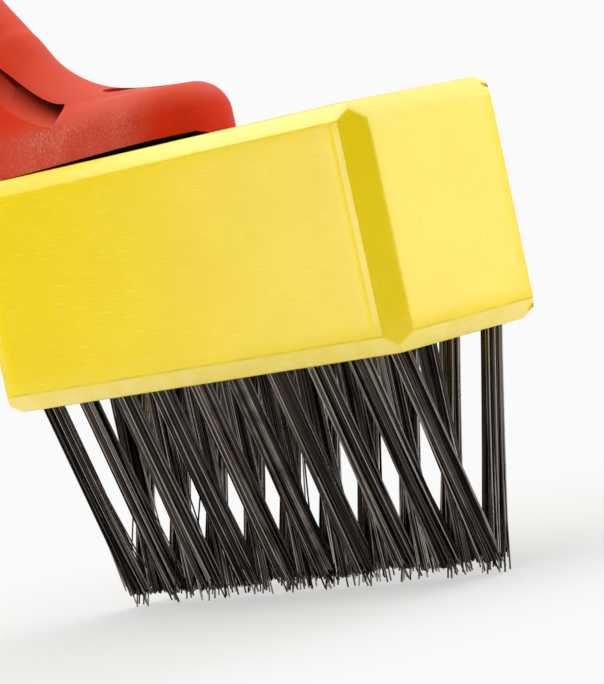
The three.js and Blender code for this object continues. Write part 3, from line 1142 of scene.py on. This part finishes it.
@dataclass
class HandleBracket:
    """The moulded bracket: foot and toe on the block, neck with pockets, sleeve for the handle.

    Places count from the middle of the block's top, and lengths along the handle from where its
    axis meets that top.
    """

    handle_angle: float = 50.0
    foot_setback: float = 23.4
    neck_radius: float = 13.6
    neck_root: float = -26.0
    sleeve_radius: float = 14.5
    sleeve_start: float = 37.0
    sleeve_end: float = 121.0
    sleeve_taper: float = 2.0
    collar_radius: float = 16.7
    collar_length: float = 9.0
    collar_bevel: float = 2.2
    bore_diameter: float = 24.0
    bore_depth: float = 72.0
    bore_bevel: float = 1.2
    bore_overshoot: float = 8.0
    pin_hole: float = 4.5
    pin_setback: float = 24.0
    screw_hole: float = 4.6
    screw_head_height: float = 3.2
    screw_head_gap: float = 0.6
    overshoot: float = 30.0  # how far the other cutters pass the surface
    raw_depth: float = 8.0  # how far the foot is drawn into the block, before its seat is cut
    seat_cut: float = 40.0
    seat_cut_lead: float = 2.0
    seat_gap: float = 0.3
    foot_width: float = 38.0
    foot_height: float = 15.4
    shoulder_width: float = 9.5
    shoulder_height: float = 9.5
    shoulder_steps: int = 14
    toe_lead: float = 1.0
    toe_crown: float = 0.6
    toe_crown_radius: float = 3.0
    toe_overlap: float = 1.0
    # The seat rests on a keel and gapes towards the toe, more on the near side.
    toe_lift: float = 1.4
    far_lift: float = 0.5
    toe_lift_start: float = -60.0
    toe_lift_end: float = -7.0
    keel_width: float = 2.0
    keel_foot: float = 13.0
    keel_gap: float = 0.1
    heel_x: float = -71.3
    heel_round: float = 4.0
    heel_turn: tuple[float, ...] = (0.5, 0.9, 1.3, math.pi / 2)  # radians round the heel
    cheek_start: float = -36.0
    cheek_rise: tuple[float, float] = (0.4, 3.6)  # past the pocket's lip, first and full
    cheek_crown: tuple[float, float] = (6.0, 5.0)  # inwards and up
    cheek_stations: int = 9
    ridge_start: float = 13.6
    ridge_end: float = 12.6
    # A power of 2 gives a round section, and a higher one a flatter top.
    ridge_power: tuple[float, ...] = (2.0, 3.2, 4.0)
    ridge_power_at: tuple[float, ...] = (-58, -32, -18)
    ridge_stations: int = 21
    ridge_sides: int = 64
    web: float = 2.0
    slot_height: float = 4.2
    slot_depth: float = 7.0
    slot_rise: float = 1.5
    slot_brink: float = 0.4
    # How dark the painted shade is on the slot's roof, web and floor.
    slot_shade: tuple[float, float, float] = (1.0, 1.0, 0.15)  # roof, web and floor
    roof_fall: float = 1.05
    pocket_reach: float = 22.0
    pocket_stations: int = 41
    voxel: float = 0.6
    blending: int = 40
    smooth_below: float = 32.0
    saddle_line: tuple[tuple[float, float], ...] = (
        (-66.4, 40.4), (-61.3, 34.4), (-55.5, 28.0), (-47.6, 22.6), (-38.5, 19.0),
        (-28.5, 17.0), (-18.0, 15.7))
    pocket_edge: tuple[tuple[float, float], ...] = (
        (-42.4, 16.3), (-48.5, 18.2), (-55.5, 22.2), (-63.0, 28.5), (-70.0, 36.0))
    pocket_lip: tuple[tuple[float, float, float], ...] = (
        (-41.5, 10.9, 17.0), (-46.5, 11.9, 16.2), (-53.0, 14.3, 15.2), (-62.0, 18.7, 13.8),
        (-68.0, 24.5, 12.8))
    origin: Vector = field(init=False)
    axis: Vector = field(init=False)
    above: Vector = field(init=False)
    axis_foot: Vector = field(init=False)

    def __post_init__(self) -> None:
        """Take the seat's place from the block."""
        low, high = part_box("brush_block")
        self.origin = Vector(((low.x + high.x) / 2, 0, high.z))
        angle = math.radians(self.handle_angle)
        self.axis = Vector((-math.cos(angle), 0, math.sin(angle)))
        self.above = Vector((self.axis.z, 0, -self.axis.x))
        self.axis_foot = self._at(self.foot_setback - (high.x - low.x) / 2 / MM, 0, 0)

    def _at(self, x: float, y: float, z: float) -> Vector:
        """Return a point, in metres, counted from the middle of the block's top."""
        return self.origin + Vector((x, y, z)) * MM

    def _counted(self, bracket: bpy.types.Object) -> np.ndarray:
        """Return a bracket's vertices, counted from the middle of the block's top."""
        return (coordinates(bracket) - np.array(self.origin)) / MM

    def build(self) -> bpy.types.Object:
        """Model the bracket.

        Returns:
            The bracket with its pockets, bore and holes.
        """
        bracket = merged("handle_moulding",
                         [self._toe(), self._beam(), self._tube(), self._ridge()])
        finish_with(bracket, "REMESH", mode="VOXEL", voxel_size=self.voxel * MM)
        self._blend(bracket)
        cut_out(bracket, self._under_seat())
        for side in Row.NEAR, Row.FAR:
            cut_out(bracket, self._pocket(side))
        for cutter in self._drills():
            cut_out(bracket, cutter)
        place_vertices(bracket, coordinates(bracket))
        self._mark_rubbed_and_sheen(bracket)
        self._mark_painted_shade(bracket)
        return bracket

    def _blend(self, bracket: bpy.types.Object) -> None:
        """Blend the saddle into the neck and the toe, and leave the cheeks crisp.

        Args:
            bracket: The bracket, before it is cut.
        """
        group = bracket.vertex_groups.new(name="blended")
        x, y, z = self._counted(bracket).T
        cheeks = np.interp(x, (-42, -38), (1, 0)) * np.interp(np.abs(y), (10, 12.5), (0, 1))
        saddle = np.interp(x, (-66, -58, -28, -16), (0, 1, 1, 0)) * np.interp(z, (8, 13), (0, 1))
        weights = saddle * (1 - cheeks)
        for index in np.flatnonzero(weights):
            group.add([int(index)], float(weights[index]), "REPLACE")
        finish_with(bracket, "SMOOTH", factor=0.5, iterations=self.blending,
                    vertex_group="blended")
        bracket.vertex_groups.clear()

    def _shoulder(self, level: float) -> list[tuple[float, float]]:
        """Follow a rounded shoulder of the foot in section.

        Args:
            level: The level where the shoulder ends.

        Returns:
            Pairs of distance from the middle and level, from the flank to the top.
        """
        half, spring = self.foot_width / 2, level - self.shoulder_height
        return [(half - self.shoulder_width * (1 - math.cos(a)),
                 spring + self.shoulder_height * math.sin(a))
                for a in np.linspace(0, math.pi / 2, self.shoulder_steps)]

    def _toe(self) -> bpy.types.Object:
        """Model the toe: a turned dome with a broad top that is faintly crowned.

        Returns:
            The toe.
        """
        radius, top = self.foot_width / 2, self.seat_gap + self.foot_height
        steps = [(radius, -self.raw_depth), *self._shoulder(top - self.toe_crown),
                 (self.toe_crown_radius, top)]
        return turned("toe", steps, self._at(self.toe_lead - radius, 0, 0), UP)

    def _beam(self) -> bpy.types.Object:
        """Model the foot behind the toe, with cheeks beside the neck that pass the pockets' lips.

        Returns:
            The foot.
        """
        half, top = self.foot_width / 2, self.seat_gap + self.foot_height
        stations = []
        for x, level in ((self.toe_lead - half + self.toe_overlap, top - self.toe_crown),
                         (self.cheek_start, top)):
            stations.append((x, [(half, -self.raw_depth), *self._shoulder(level)]))
        lines = self._pocket_lines(self.cheek_stations)
        behind = [lines[-1]] * len(self.heel_turn)
        insets = [0.0] * len(lines) + [
            self.heel_round * (1 - math.cos(a)) for a in self.heel_turn]
        backs = [0.0] * len(lines) + [math.sin(a) for a in self.heel_turn]
        extras = np.interp(range(len(insets)), (0, 2), self.cheek_rise)
        across, up = self.cheek_crown
        for (_, _, x, lip, out), inset, back, extra in zip([*lines, *behind], insets, backs,
                                                           extras):
            x -= (x - self.heel_x) * back
            base, rim = half - inset, out - inset
            lean = (rim - base) / lip
            flank = [(base, -self.raw_depth)]
            flank += [(base + lean * z, z) for z in np.linspace(0, lip + extra - inset, 9)]
            edge_y, edge_z = flank[-1]
            crown = [(edge_y - across * bend, edge_z + (up - extra) * bend)
                     for bend in np.linspace(0.2, 1, 5)]
            stations.append((x, flank + crown))
        rings = []
        for x, side in stations:
            outline = side + [(-y, z) for y, z in reversed(side)]
            rings.append([self._at(x, y, z) for y, z in outline])
        return lofted("beam", np.array(rings))

    def _tube(self) -> bpy.types.Object:
        """Model the neck, the sleeve and the ring at its mouth.

        Returns:
            The tube.
        """
        ring = self.sleeve_end - self.collar_length
        steps = [(self.neck_radius, self.neck_root),
                 (self.neck_radius, self.sleeve_start - self.sleeve_taper),
                 (self.sleeve_radius, self.sleeve_start + self.sleeve_taper),
                 (self.sleeve_radius, ring - self.collar_bevel),
                 (self.collar_radius, ring), (self.collar_radius, self.sleeve_end)]
        return turned("tube", steps, self.axis_foot, self.axis)

    def _ridge(self) -> bpy.types.Object:
        """Model the ridge under the saddle's line: round at the neck, flatter towards the toe.

        Returns:
            The ridge.
        """
        angles = np.linspace(0, 2 * math.pi, self.ridge_sides, endpoint=False)
        sines, cosines = np.sin(angles), np.cos(angles)
        line = smooth_line(self.saddle_line, self.ridge_stations, 6)
        rings = []
        for share, (x, z), (run, rise) in zip(np.linspace(0, 1, len(line)), line,
                                              np.gradient(line, axis=0)):
            radius = (self.ridge_start + (self.ridge_end - self.ridge_start) * share) * MM
            power = 2 / np.interp(x, self.ridge_power_at, self.ridge_power)
            up = np.array(Vector((-rise, 0, run)).normalized())
            tall = np.sign(cosines) * np.abs(cosines) ** power - 1
            wide = np.sign(sines) * np.abs(sines) ** power
            section = tall[:, None] * up + wide[:, None] * np.array((0, 1, 0))
            rings.append(np.array(self._at(x, 0, z)) + section * radius)
        return lofted("ridge", np.array(rings))

    def _pocket_lines(self, count: int) -> np.ndarray:
        """Draw smooth lines past the points of a pocket's upper edge and of its lip.

        Args:
            count: The number of stations.

        Returns:
            For each station, x and level of the edge, then x, level and distance from the middle
            of the lip.
        """
        return smooth_line(np.hstack([self.pocket_edge, self.pocket_lip]), count, 3)

    def _slot(self, line: np.ndarray) -> np.ndarray:
        """Find the dark slot at the back of a pocket.

        Args:
            line: One station of the pocket's lines.

        Returns:
            The web's top, its bottom and the floor's inner edge, on the far side.
        """
        upper, lower = line[:2], line[2:4]
        fall = (lower - upper) / np.linalg.norm(lower - upper)
        inner = upper + fall * self.slot_height
        brink = upper + fall * (self.slot_height + self.slot_brink)
        web = self.web / 2
        return np.array([(upper[0], web, upper[1] + self.slot_rise), (inner[0], web, inner[1]),
                         (brink[0], web + self.slot_depth, brink[1])])

    def _pocket(self, side: Row) -> bpy.types.Object:
        """Shape the cutter of a pocket: a sharp roof, an upright web and a floor that slopes out.

        Args:
            side: Which flank.

        Returns:
            The cutter.
        """
        reach = self.pocket_reach
        rings = []
        for line in self._pocket_lines(self.pocket_stations):
            roof, inner, brink = self._slot(line)
            lip = np.array((line[2], line[4], line[3]))
            outer = brink + (lip - brink) * (reach - brink[1]) / (lip[1] - brink[1])
            eaves = (line[0], reach, line[1] - self.roof_fall)
            section = [eaves, roof, inner, brink, outer]
            rings.append([self._at(x, side.value * y, z) for x, y, z in section])
        return lofted("pocket", np.array(rings))

    def _drills(self) -> list[bpy.types.Object]:
        """Make the cutters of the bore, the pin hole and the screw holes.

        Returns:
            The cutters.
        """
        bore, mouth = self.bore_diameter / 2, self.sleeve_end
        wide, past = bore + self.bore_bevel, self.overshoot
        cutters = [turned("bore", [
            (bore, mouth - self.bore_depth), (bore, mouth - self.bore_bevel), (wide, mouth),
            (wide, mouth + self.bore_overshoot)], self.axis_foot, self.axis)]
        pin, pin_foot = self.pin_hole / 2, self.axis * (mouth - self.pin_setback) * MM
        cutters.append(turned("pin", [(pin, 0), (pin, past)], self.axis_foot + pin_foot,
                              self.above, 48))
        shank, gap = self.screw_hole / 2, self.seat_gap
        for node in WoodScrews.nodes:
            low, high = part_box(node)
            head = (high.x - low.x) / 2 / MM + self.screw_head_gap
            under = Vector(((low.x + high.x) / 2, 0, high.z - self.screw_head_height * MM))
            steps = [(shank, -past), (shank, -gap), (head, -gap), (head, past)]
            cutters.append(turned("counterbore", steps, under, UP, 64))
        return cutters

    def _under_seat(self) -> bpy.types.Object:
        """Make the cutter of the underside: it leaves a keel and lifts the rest towards the toe.

        Returns:
            The cutter.
        """
        start, end = self.toe_lift_start, self.toe_lift_end
        nose = self.toe_lead + self.seat_cut_lead
        behind, below = start - 2 * self.overshoot, -self.seat_cut
        keel, foot, far = self.keel_width / 2, self.keel_foot / 2, self.foot_width
        near_top, far_top = self.seat_gap + self.toe_lift, self.seat_gap + self.far_lift
        rings = []
        for y, top in ((-far, near_top), (-foot, near_top), (-keel, self.keel_gap),
                       (keel, self.keel_gap), (2 * foot, far_top), (far, far_top)):
            seat = min(top, self.seat_gap)
            outline = [(behind, below), (nose, below), (nose, top), (end, top), (start, seat),
                       (behind, seat)]
            rings.append([self._at(x, y, z) for x, z in outline])
        return lofted("under_seat", np.array(rings))

    def _mark_rubbed_and_sheen(self, bracket: bpy.types.Object) -> None:
        """Mark the flanks of the foot, rubbed pale by handling and given a painted sheen.

        Args:
            bracket: The bracket.
        """
        x, y, z = self._counted(bracket).T
        flank = np.interp(np.abs(y), (9, 14), (0, 1)) * np.interp(z, (9.5, 15), (1, 0))
        mark(bracket, "rubbed", flank * np.interp(x, (-75, -40, -14, -5), (0.85, 1, 1, 0)))

    def _mark_painted_shade(self, bracket: bpy.types.Object) -> None:
        """Mark the slots at the back of the pockets, which take near-black painted shade.

        Args:
            bracket: The bracket.
        """
        points = self._counted(bracket)
        points[:, 1] = np.abs(points[:, 1])
        dirt = np.zeros(len(points))
        for line in self._pocket_lines(self.pocket_stations):
            for place, amount in zip(self._slot(line), self.slot_shade):
                dirt[np.linalg.norm(points - place, axis=1) < 0.05] = amount
        mark(bracket, "dirt", dirt)

    def dress(self, bracket: bpy.types.Object, material: bpy.types.Material) -> None:
        """Give the bracket its finish."""
        hand_over(bracket, Slot.PLASTIC, material, self.smooth_below, "handle_bracket")


@dataclass
class WoodScrews:
    """The two screws that hold the bracket down: domed heads with a cross recess."""

    nodes: tuple[str, ...] = ("toe_screw", "saddle_screw")
    shank: float = 2.0
    plain_shank: float = 1.95
    plain_length: float = 8.0
    head_height: float = 3.2
    head_slope: float = 0.05
    head_rim: float = 0.55  # upright share of the head's height, and flat share of its top
    head_steps: tuple[float, ...] = (0.3, 0.6, 0.85, 1.0)
    point_radius: float = 0.2
    point_length: float = 5.0
    recess_arm: float = 1.0
    recess_span: float = 4.4
    recess_depth: float = 1.9
    recess_taper: float = 0.45
    recess_turn: float = 0.4  # radians
    thread_pitch: float = 1.8
    thread_height: float = 0.25
    thread_crest: float = 0.4  # the crest and the foot of a turn, as shares of the pitch
    thread_foot: float = 0.8
    sides: int = 40
    smooth_below: float = 35.0

    def build(self) -> list[bpy.types.Object]:
        """Model one screw and copy it to the other place.

        Returns:
            The screws.
        """
        low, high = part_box(self.nodes[0])
        under = Vector(((low.x + high.x) / 2, (low.y + high.y) / 2,
                        high.z - self.head_height * MM))
        first = self._screw(self.nodes[0] + "_turned", under, (high.x - low.x) / 2 / MM,
                            (under.z - low.z) / MM)
        return [first] + [
            copied(first, node + "_turned", Matrix.Translation(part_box(node)[0] - low))
            for node in self.nodes[1:]]

    def _screw(self, name: str, under: Vector, head: float, length: float) -> bpy.types.Object:
        """Model a screw.

        Args:
            name: The object's name.
            under: The middle of the head's underside, in metres.
            head: The head's radius.
            length: The length below the head.

        Returns:
            The screw.
        """
        steps = [(self.point_radius, -length)]
        root, pitch = self.shank - self.thread_height, self.thread_pitch
        turns = int((length - self.plain_length - self.point_length) / pitch)
        for i in range(turns):
            z = -length + self.point_length + i * pitch
            steps += [(root, z), (self.shank, z + pitch * self.thread_crest),
                      (root, z + pitch * self.thread_foot)]
        rim, dome = self.head_rim, 1 - self.head_rim
        steps += [(self.plain_shank, -self.plain_length), (self.plain_shank, 0),
                  (head, self.head_slope), (head, rim * self.head_height)]
        for share in self.head_steps:
            angle = share * math.pi / 2
            steps.append((head * (rim + dome * math.cos(angle)),
                          self.head_height * (rim + dome * math.sin(angle))))
        screw = turned(name, steps, under, UP, self.sides)
        top = under + UP * self.head_height * MM
        for quarter in (0, 1):
            clear_selection()
            bpy.ops.mesh.primitive_cube_add(
                size=2, location=top, rotation=(0, 0, quarter * math.pi / 2 + self.recess_turn),
                scale=(self.recess_span / 2 * MM, self.recess_arm / 2 * MM,
                       self.recess_depth * MM))
            arm = named("recess")
            with edit_mode(arm):
                pick(arm, Element.VERT, lambda v: v.co.z < top.z)
                bpy.ops.transform.resize(value=(self.recess_taper, self.recess_taper, 1),
                                         center_override=top)
            cut_out(screw, arm)
        return screw

    def dress(self, screws: Sequence[bpy.types.Object], material: bpy.types.Material) -> None:
        """Give the screws their finish."""
        for node, screw in zip(self.nodes, screws):
            hand_over(screw, Slot.ZINC, material, self.smooth_below, node)


@dataclass
class Bundle:
    """Where one tuft stands, in metres, with its directions, and how short it was trimmed."""

    root: np.ndarray
    tip: np.ndarray
    level: float
    lean: np.ndarray = field(init=False)
    along: np.ndarray = field(init=False)
    across: np.ndarray = field(init=False)

    def __post_init__(self) -> None:
        """Find the directions down the tuft, along its row and across both."""
        self.lean = (self.tip - self.root) / np.linalg.norm(self.tip - self.root)
        self.along = np.array((1.0, 0, 0))
        across = np.cross(self.lean, self.along)
        self.across = across / np.linalg.norm(across)

    def offset(self, u: float, v: float) -> np.ndarray:
        """Return a place in the bundle, given along the row and across it, in metres."""
        return (self.along * u + self.across * v) * MM


@dataclass
class WireTufts:
    """The tufts: bundles of drawn wire, packed in their holes, that lean together and splay."""

    layout: TuftLayout
    wire_diameter: float = 0.48
    rings_of_wires: int = 5
    packing: float = 0.525
    jitter: float = 0.05
    sides: int = 5
    segments: int = 5
    inside: float = 7.0
    splay_along: float = 1.3
    splay_across: float = 0.85
    bow: float = 0.35
    stray_bow: float = 0.77
    tip_scatter: float = 0.62
    stray_scatter: tuple[float, float] = (2.6, 1.6)  # along and across the row
    across_share: float = 0.6  # scatter and bow across the row, against along it
    trim_level: float = 2.4
    trim_sway: float = 1.2
    trim_scatter: float = 1.9
    long_share: float = 0.08
    stray_share: float = 0.03
    # How brown or grey a wire is, from 0 to 1: a few bright wires, and a spread of dark ones.
    bright_share: float = 0.12
    bright_tone: tuple[float, float] = (0.75, 1.0)
    dark_tone: tuple[float, float] = (0.42, 0.3)
    smooth_below: float = 80.0
    seed: int = 11

    def build(self) -> list[bpy.types.Object]:
        """Model one wire, then bundle bent copies of it into each tuft.

        Returns:
            The tufts, in the layout's order.
        """
        wire = self._wire()
        points = coordinates(wire)
        faces = [list(p.vertices) for p in wire.data.polygons]
        bpy.data.objects.remove(wire)
        rng = np.random.default_rng(self.seed)
        return [self._tuft(rng, place, points, faces) for place in self.layout.places]

    def _wire(self) -> bpy.types.Object:
        """Model one straight wire of unit length, cut into segments.

        Returns:
            The wire.
        """
        clear_selection()
        bpy.ops.mesh.primitive_cylinder_add(
            vertices=self.sides, radius=self.wire_diameter / 2 * MM, depth=1,
            location=(0, 0, 0.5))
        wire = named("wire")
        with edit_mode(wire):
            pick(wire, Element.EDGE, lambda e: abs(e.verts[0].co.z - e.verts[1].co.z) > 0.5)
            bpy.ops.mesh.subdivide(number_cuts=self.segments - 1)
        return wire

    def _spots(self) -> np.ndarray:
        """Lay the wires of a bundle out in hexagonal rings.

        Returns:
            The wires' places across the bundle.
        """
        spots = [(0.0, 0.0)]
        for ring in range(1, self.rings_of_wires + 1):
            corners = [(ring * math.cos(k * math.pi / 3), ring * math.sin(k * math.pi / 3))
                       for k in range(7)]
            for (ax, ay), (bx, by) in zip(corners[:-1], corners[1:]):
                spots += [(ax + (bx - ax) * i / ring, ay + (by - ay) * i / ring)
                          for i in range(ring)]
        return np.array(spots) * self.packing

    def _tuft(self, rng: np.random.Generator, place: tuple[str, Vector, Vector],
              points: np.ndarray, faces: list[list[int]]) -> bpy.types.Object:
        """Bundle the wires of one tuft.

        Args:
            rng: The source of chance.
            place: The solid that the tuft stands for, its hole's mouth and its tip.
            points: The vertices of one straight wire.
            faces: The faces of one wire.

        Returns:
            The tuft.
        """
        name, root, tip = place
        turn = rng.uniform(0, math.pi / 3)
        level = self.trim_level + rng.uniform(0, self.trim_sway)
        bundle = Bundle(np.array(root), np.array(tip), level)
        spots = self._spots() @ np.array([[math.cos(turn), -math.sin(turn)],
                                          [math.sin(turn), math.cos(turn)]])
        all_points, all_faces, tones = [], [], []
        for u, v in spots:
            u, v = u + rng.normal(0, self.jitter), v + rng.normal(0, self.jitter)
            all_faces += [[i + len(points) * len(all_points) for i in face] for face in faces]
            all_points.append(self._bent(rng, bundle, points, u, v))
            bright = rng.random() < self.bright_share
            tone = rng.uniform(*self.bright_tone) if bright else rng.normal(*self.dark_tone)
            tones += [float(np.clip(tone, 0, 1))] * len(points)
        mesh = bpy.data.meshes.new(name + "_wires")
        mesh.from_pydata(np.concatenate(all_points).tolist(), [], all_faces)
        tuft = bpy.data.objects.new(name + "_wires", mesh)
        bpy.context.scene.collection.objects.link(tuft)
        mark(tuft, "tone", np.array(tones))
        place_vertices(tuft, coordinates(tuft))
        with edit_mode(tuft):
            bpy.ops.mesh.normals_make_consistent(inside=False)
        return tuft

    def _bent(self, rng: np.random.Generator, bundle: Bundle, points: np.ndarray,
              u: float, v: float) -> np.ndarray:
        """Bend one wire from its hole to where it was trimmed.

        Args:
            rng: The source of chance.
            bundle: The tuft that it belongs to.
            points: The vertices of the straight wire.
            u: The wire's place in the bundle, along the row.
            v: Its place across the row.

        Returns:
            The vertices of the bent wire.
        """
        stray = rng.random() < self.stray_share
        end_u = u * self.splay_along + rng.normal(0, self.tip_scatter)
        end_v = v * self.splay_across + rng.normal(0, self.tip_scatter * self.across_share)
        if stray:
            end_u += rng.normal(0, self.stray_scatter[0])
            end_v += rng.normal(0, self.stray_scatter[1])
        start = bundle.root - bundle.lean * self.inside * MM + bundle.offset(u, v)
        end = bundle.tip + bundle.offset(end_u, end_v)
        direction = (end - start) / (end - start)[2]
        uncut = rng.random() < self.long_share
        cut = (rng.uniform(0, self.trim_level) if uncut
               else bundle.level + abs(rng.normal(0, self.trim_scatter)))
        end = end + direction * (cut * MM - end[2])
        sag = bundle.offset(rng.normal(0, 1), rng.normal(0, self.across_share))
        sag *= self.stray_bow if stray else self.bow
        share = points[:, 2:]
        mouth = self.inside * MM / np.linalg.norm(end - start)
        free = np.clip((share - mouth) / (1 - mouth), 0, 1)
        aim = bundle.tip + bundle.offset(u, v)
        # A stray wire leaves its bundle from the hole on; the others part towards their tips.
        parting = (end - aim) * (free if stray else free ** 2)
        centre = start + (aim - start) * share + parting + sag * (np.sin(free * math.pi) * free)
        return centre + bundle.along * points[:, :1] + bundle.across * points[:, 1:2]

    def dress(self, tufts: Sequence[bpy.types.Object], material: bpy.types.Material) -> None:
        """Give the tufts their finish."""
        for (name, _, _), tuft in zip(self.layout.places, tufts):
            hand_over(tuft, Slot.WIRE, material, self.smooth_below, name)


@dataclass(frozen=True)
class Softbox:
    """A square softbox: where it stands, the length of its side and its power in watts."""

    name: str
    place: tuple[float, float, float]
    side: float
    power: float


@dataclass(frozen=True)
class Flag:
    """A square of black cloth that faces the block: where it hangs and its side's length."""

    name: str
    place: tuple[float, float, float]
    side: float


@dataclass
class Studio:
    """The pale floor, the soft lights and the camera at the photograph's viewing angle."""

    eye: tuple[float, float, float] = (638.665, -624.80, 108.45)
    heading: float = 43.355
    dip: float = 2.861
    roll: float = 12.083
    lens: float = 173.46
    sensor: float = 36.0
    clip_start: float = 10.0
    floor_size: float = 6000.0
    ambient: float = 0.9
    softboxes: tuple[Softbox, ...] = (
        Softbox("front_softbox", (-210, -480, 60), 280, 0.75),
        Softbox("side_softbox", (585, 400, 110), 400, 1.5),
        Softbox("top_softbox", (-240, -60, 640), 400, 1.7),
        Softbox("back_softbox", (120, 560, 640), 500, 1.2),
    )
    flags: tuple[Flag, ...] = (
        Flag("camera_flag", (938, -934, 117), 1100),
        Flag("left_flag", (-900, -680, 90), 720),
    )

    def build(self) -> None:
        """Set the studio up."""
        bpy.context.scene.view_settings.view_transform = "Standard"
        low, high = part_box("brush_block")
        target = (low + high) / 2
        self._floor()
        self._world()
        velvet = BlackVelvet().make()
        for flag in self.flags:
            self._flag(flag, target, velvet)
        for softbox in self.softboxes:
            self._light(softbox, target)
        self._camera()

    def _floor(self) -> None:
        """Lay the floor under the wire tips."""
        clear_selection()
        bpy.ops.mesh.primitive_plane_add(size=self.floor_size * MM,
                                         location=(0, 0, CAD_BOX[0].z))
        floor = named("floor")
        floor.data.materials.append(PaleFloor().make())

    def _world(self) -> None:
        """Surround the scene with even light that shows as white."""
        world = bpy.data.worlds.new("Studio")
        bpy.context.scene.world = world
        world.use_nodes = True
        tree = world.node_tree
        tree.nodes.clear()
        strength = add_node(tree, "MapRange", {
            "Value": seen_as_backdrop(tree), "To Min": self.ambient, "To Max": PaleFloor.plain})
        background = add_node(tree, "Background", {"Color": (1, 1, 1, 1), "Strength": strength})
        add_node(tree, "OutputWorld", {"Surface": background})

    def _flag(self, flag: Flag, target: Vector, velvet: bpy.types.Material) -> None:
        """Hang one dark flag, as in a studio; the camera itself never sees it.

        Args:
            flag: The flag.
            target: The point it faces.
            velvet: Its cloth.
        """
        place = Vector(flag.place) * MM
        clear_selection()
        bpy.ops.mesh.primitive_plane_add(
            size=flag.side * MM, location=place,
            rotation=(target - place).to_track_quat("Z", "Y").to_euler())
        cloth = named(flag.name)
        cloth.visible_camera = False
        cloth.data.materials.append(velvet)

    def _light(self, softbox: Softbox, target: Vector) -> None:
        """Set up one softbox, turned to the block.

        Args:
            softbox: The softbox.
            target: The point it faces.
        """
        place = Vector(softbox.place) * MM
        clear_selection()
        bpy.ops.object.light_add(type="AREA", location=place)
        light = bpy.context.object
        light.name = softbox.name
        light.rotation_euler = (target - place).to_track_quat("-Z", "Y").to_euler()
        light.data.shape = "SQUARE"
        light.data.size = softbox.side * MM
        light.data.energy = softbox.power

    def _camera(self) -> None:
        """Set the camera up where the photograph was taken from."""
        clear_selection()
        bpy.ops.object.camera_add(location=Vector(self.eye) * MM)
        camera = bpy.context.object
        camera.name = "camera"
        heading, dip = math.radians(self.heading), math.radians(self.dip)
        forward = Vector((-math.sin(heading) * math.cos(dip),
                          math.cos(heading) * math.cos(dip), -math.sin(dip)))
        level = forward.to_track_quat("-Z", "Y").to_matrix()
        roll = Matrix.Rotation(-math.radians(self.roll), 3, "Z")
        camera.rotation_euler = (level @ roll).to_euler()
        camera.data.sensor_width = self.sensor
        camera.data.lens = self.lens
        camera.data.clip_start = self.clip_start * MM
        bpy.context.scene.camera = camera


def main() -> None:
    """Build every sub-assembly in order, dress it and set the studio up."""
    logging.basicConfig(level=logging.INFO, format="%(relativeCreated)6d ms %(message)s")
    layout = TuftLayout()
    paint, plastic = PaintedBeech().make(), MouldedPolypropylene().make()
    wire, zinc = TemperedWire().make(), ZincPlate().make()
    for assembly, finish in ((WoodenBlock(layout), paint), (HoleSplinters(layout), paint),
                             (HandleBracket(), plastic), (WoodScrews(), zinc),
                             (WireTufts(layout), wire)):
        assembly.dress(assembly.build(), finish)
    Studio().build()


if __name__ == "__main__":
    main()
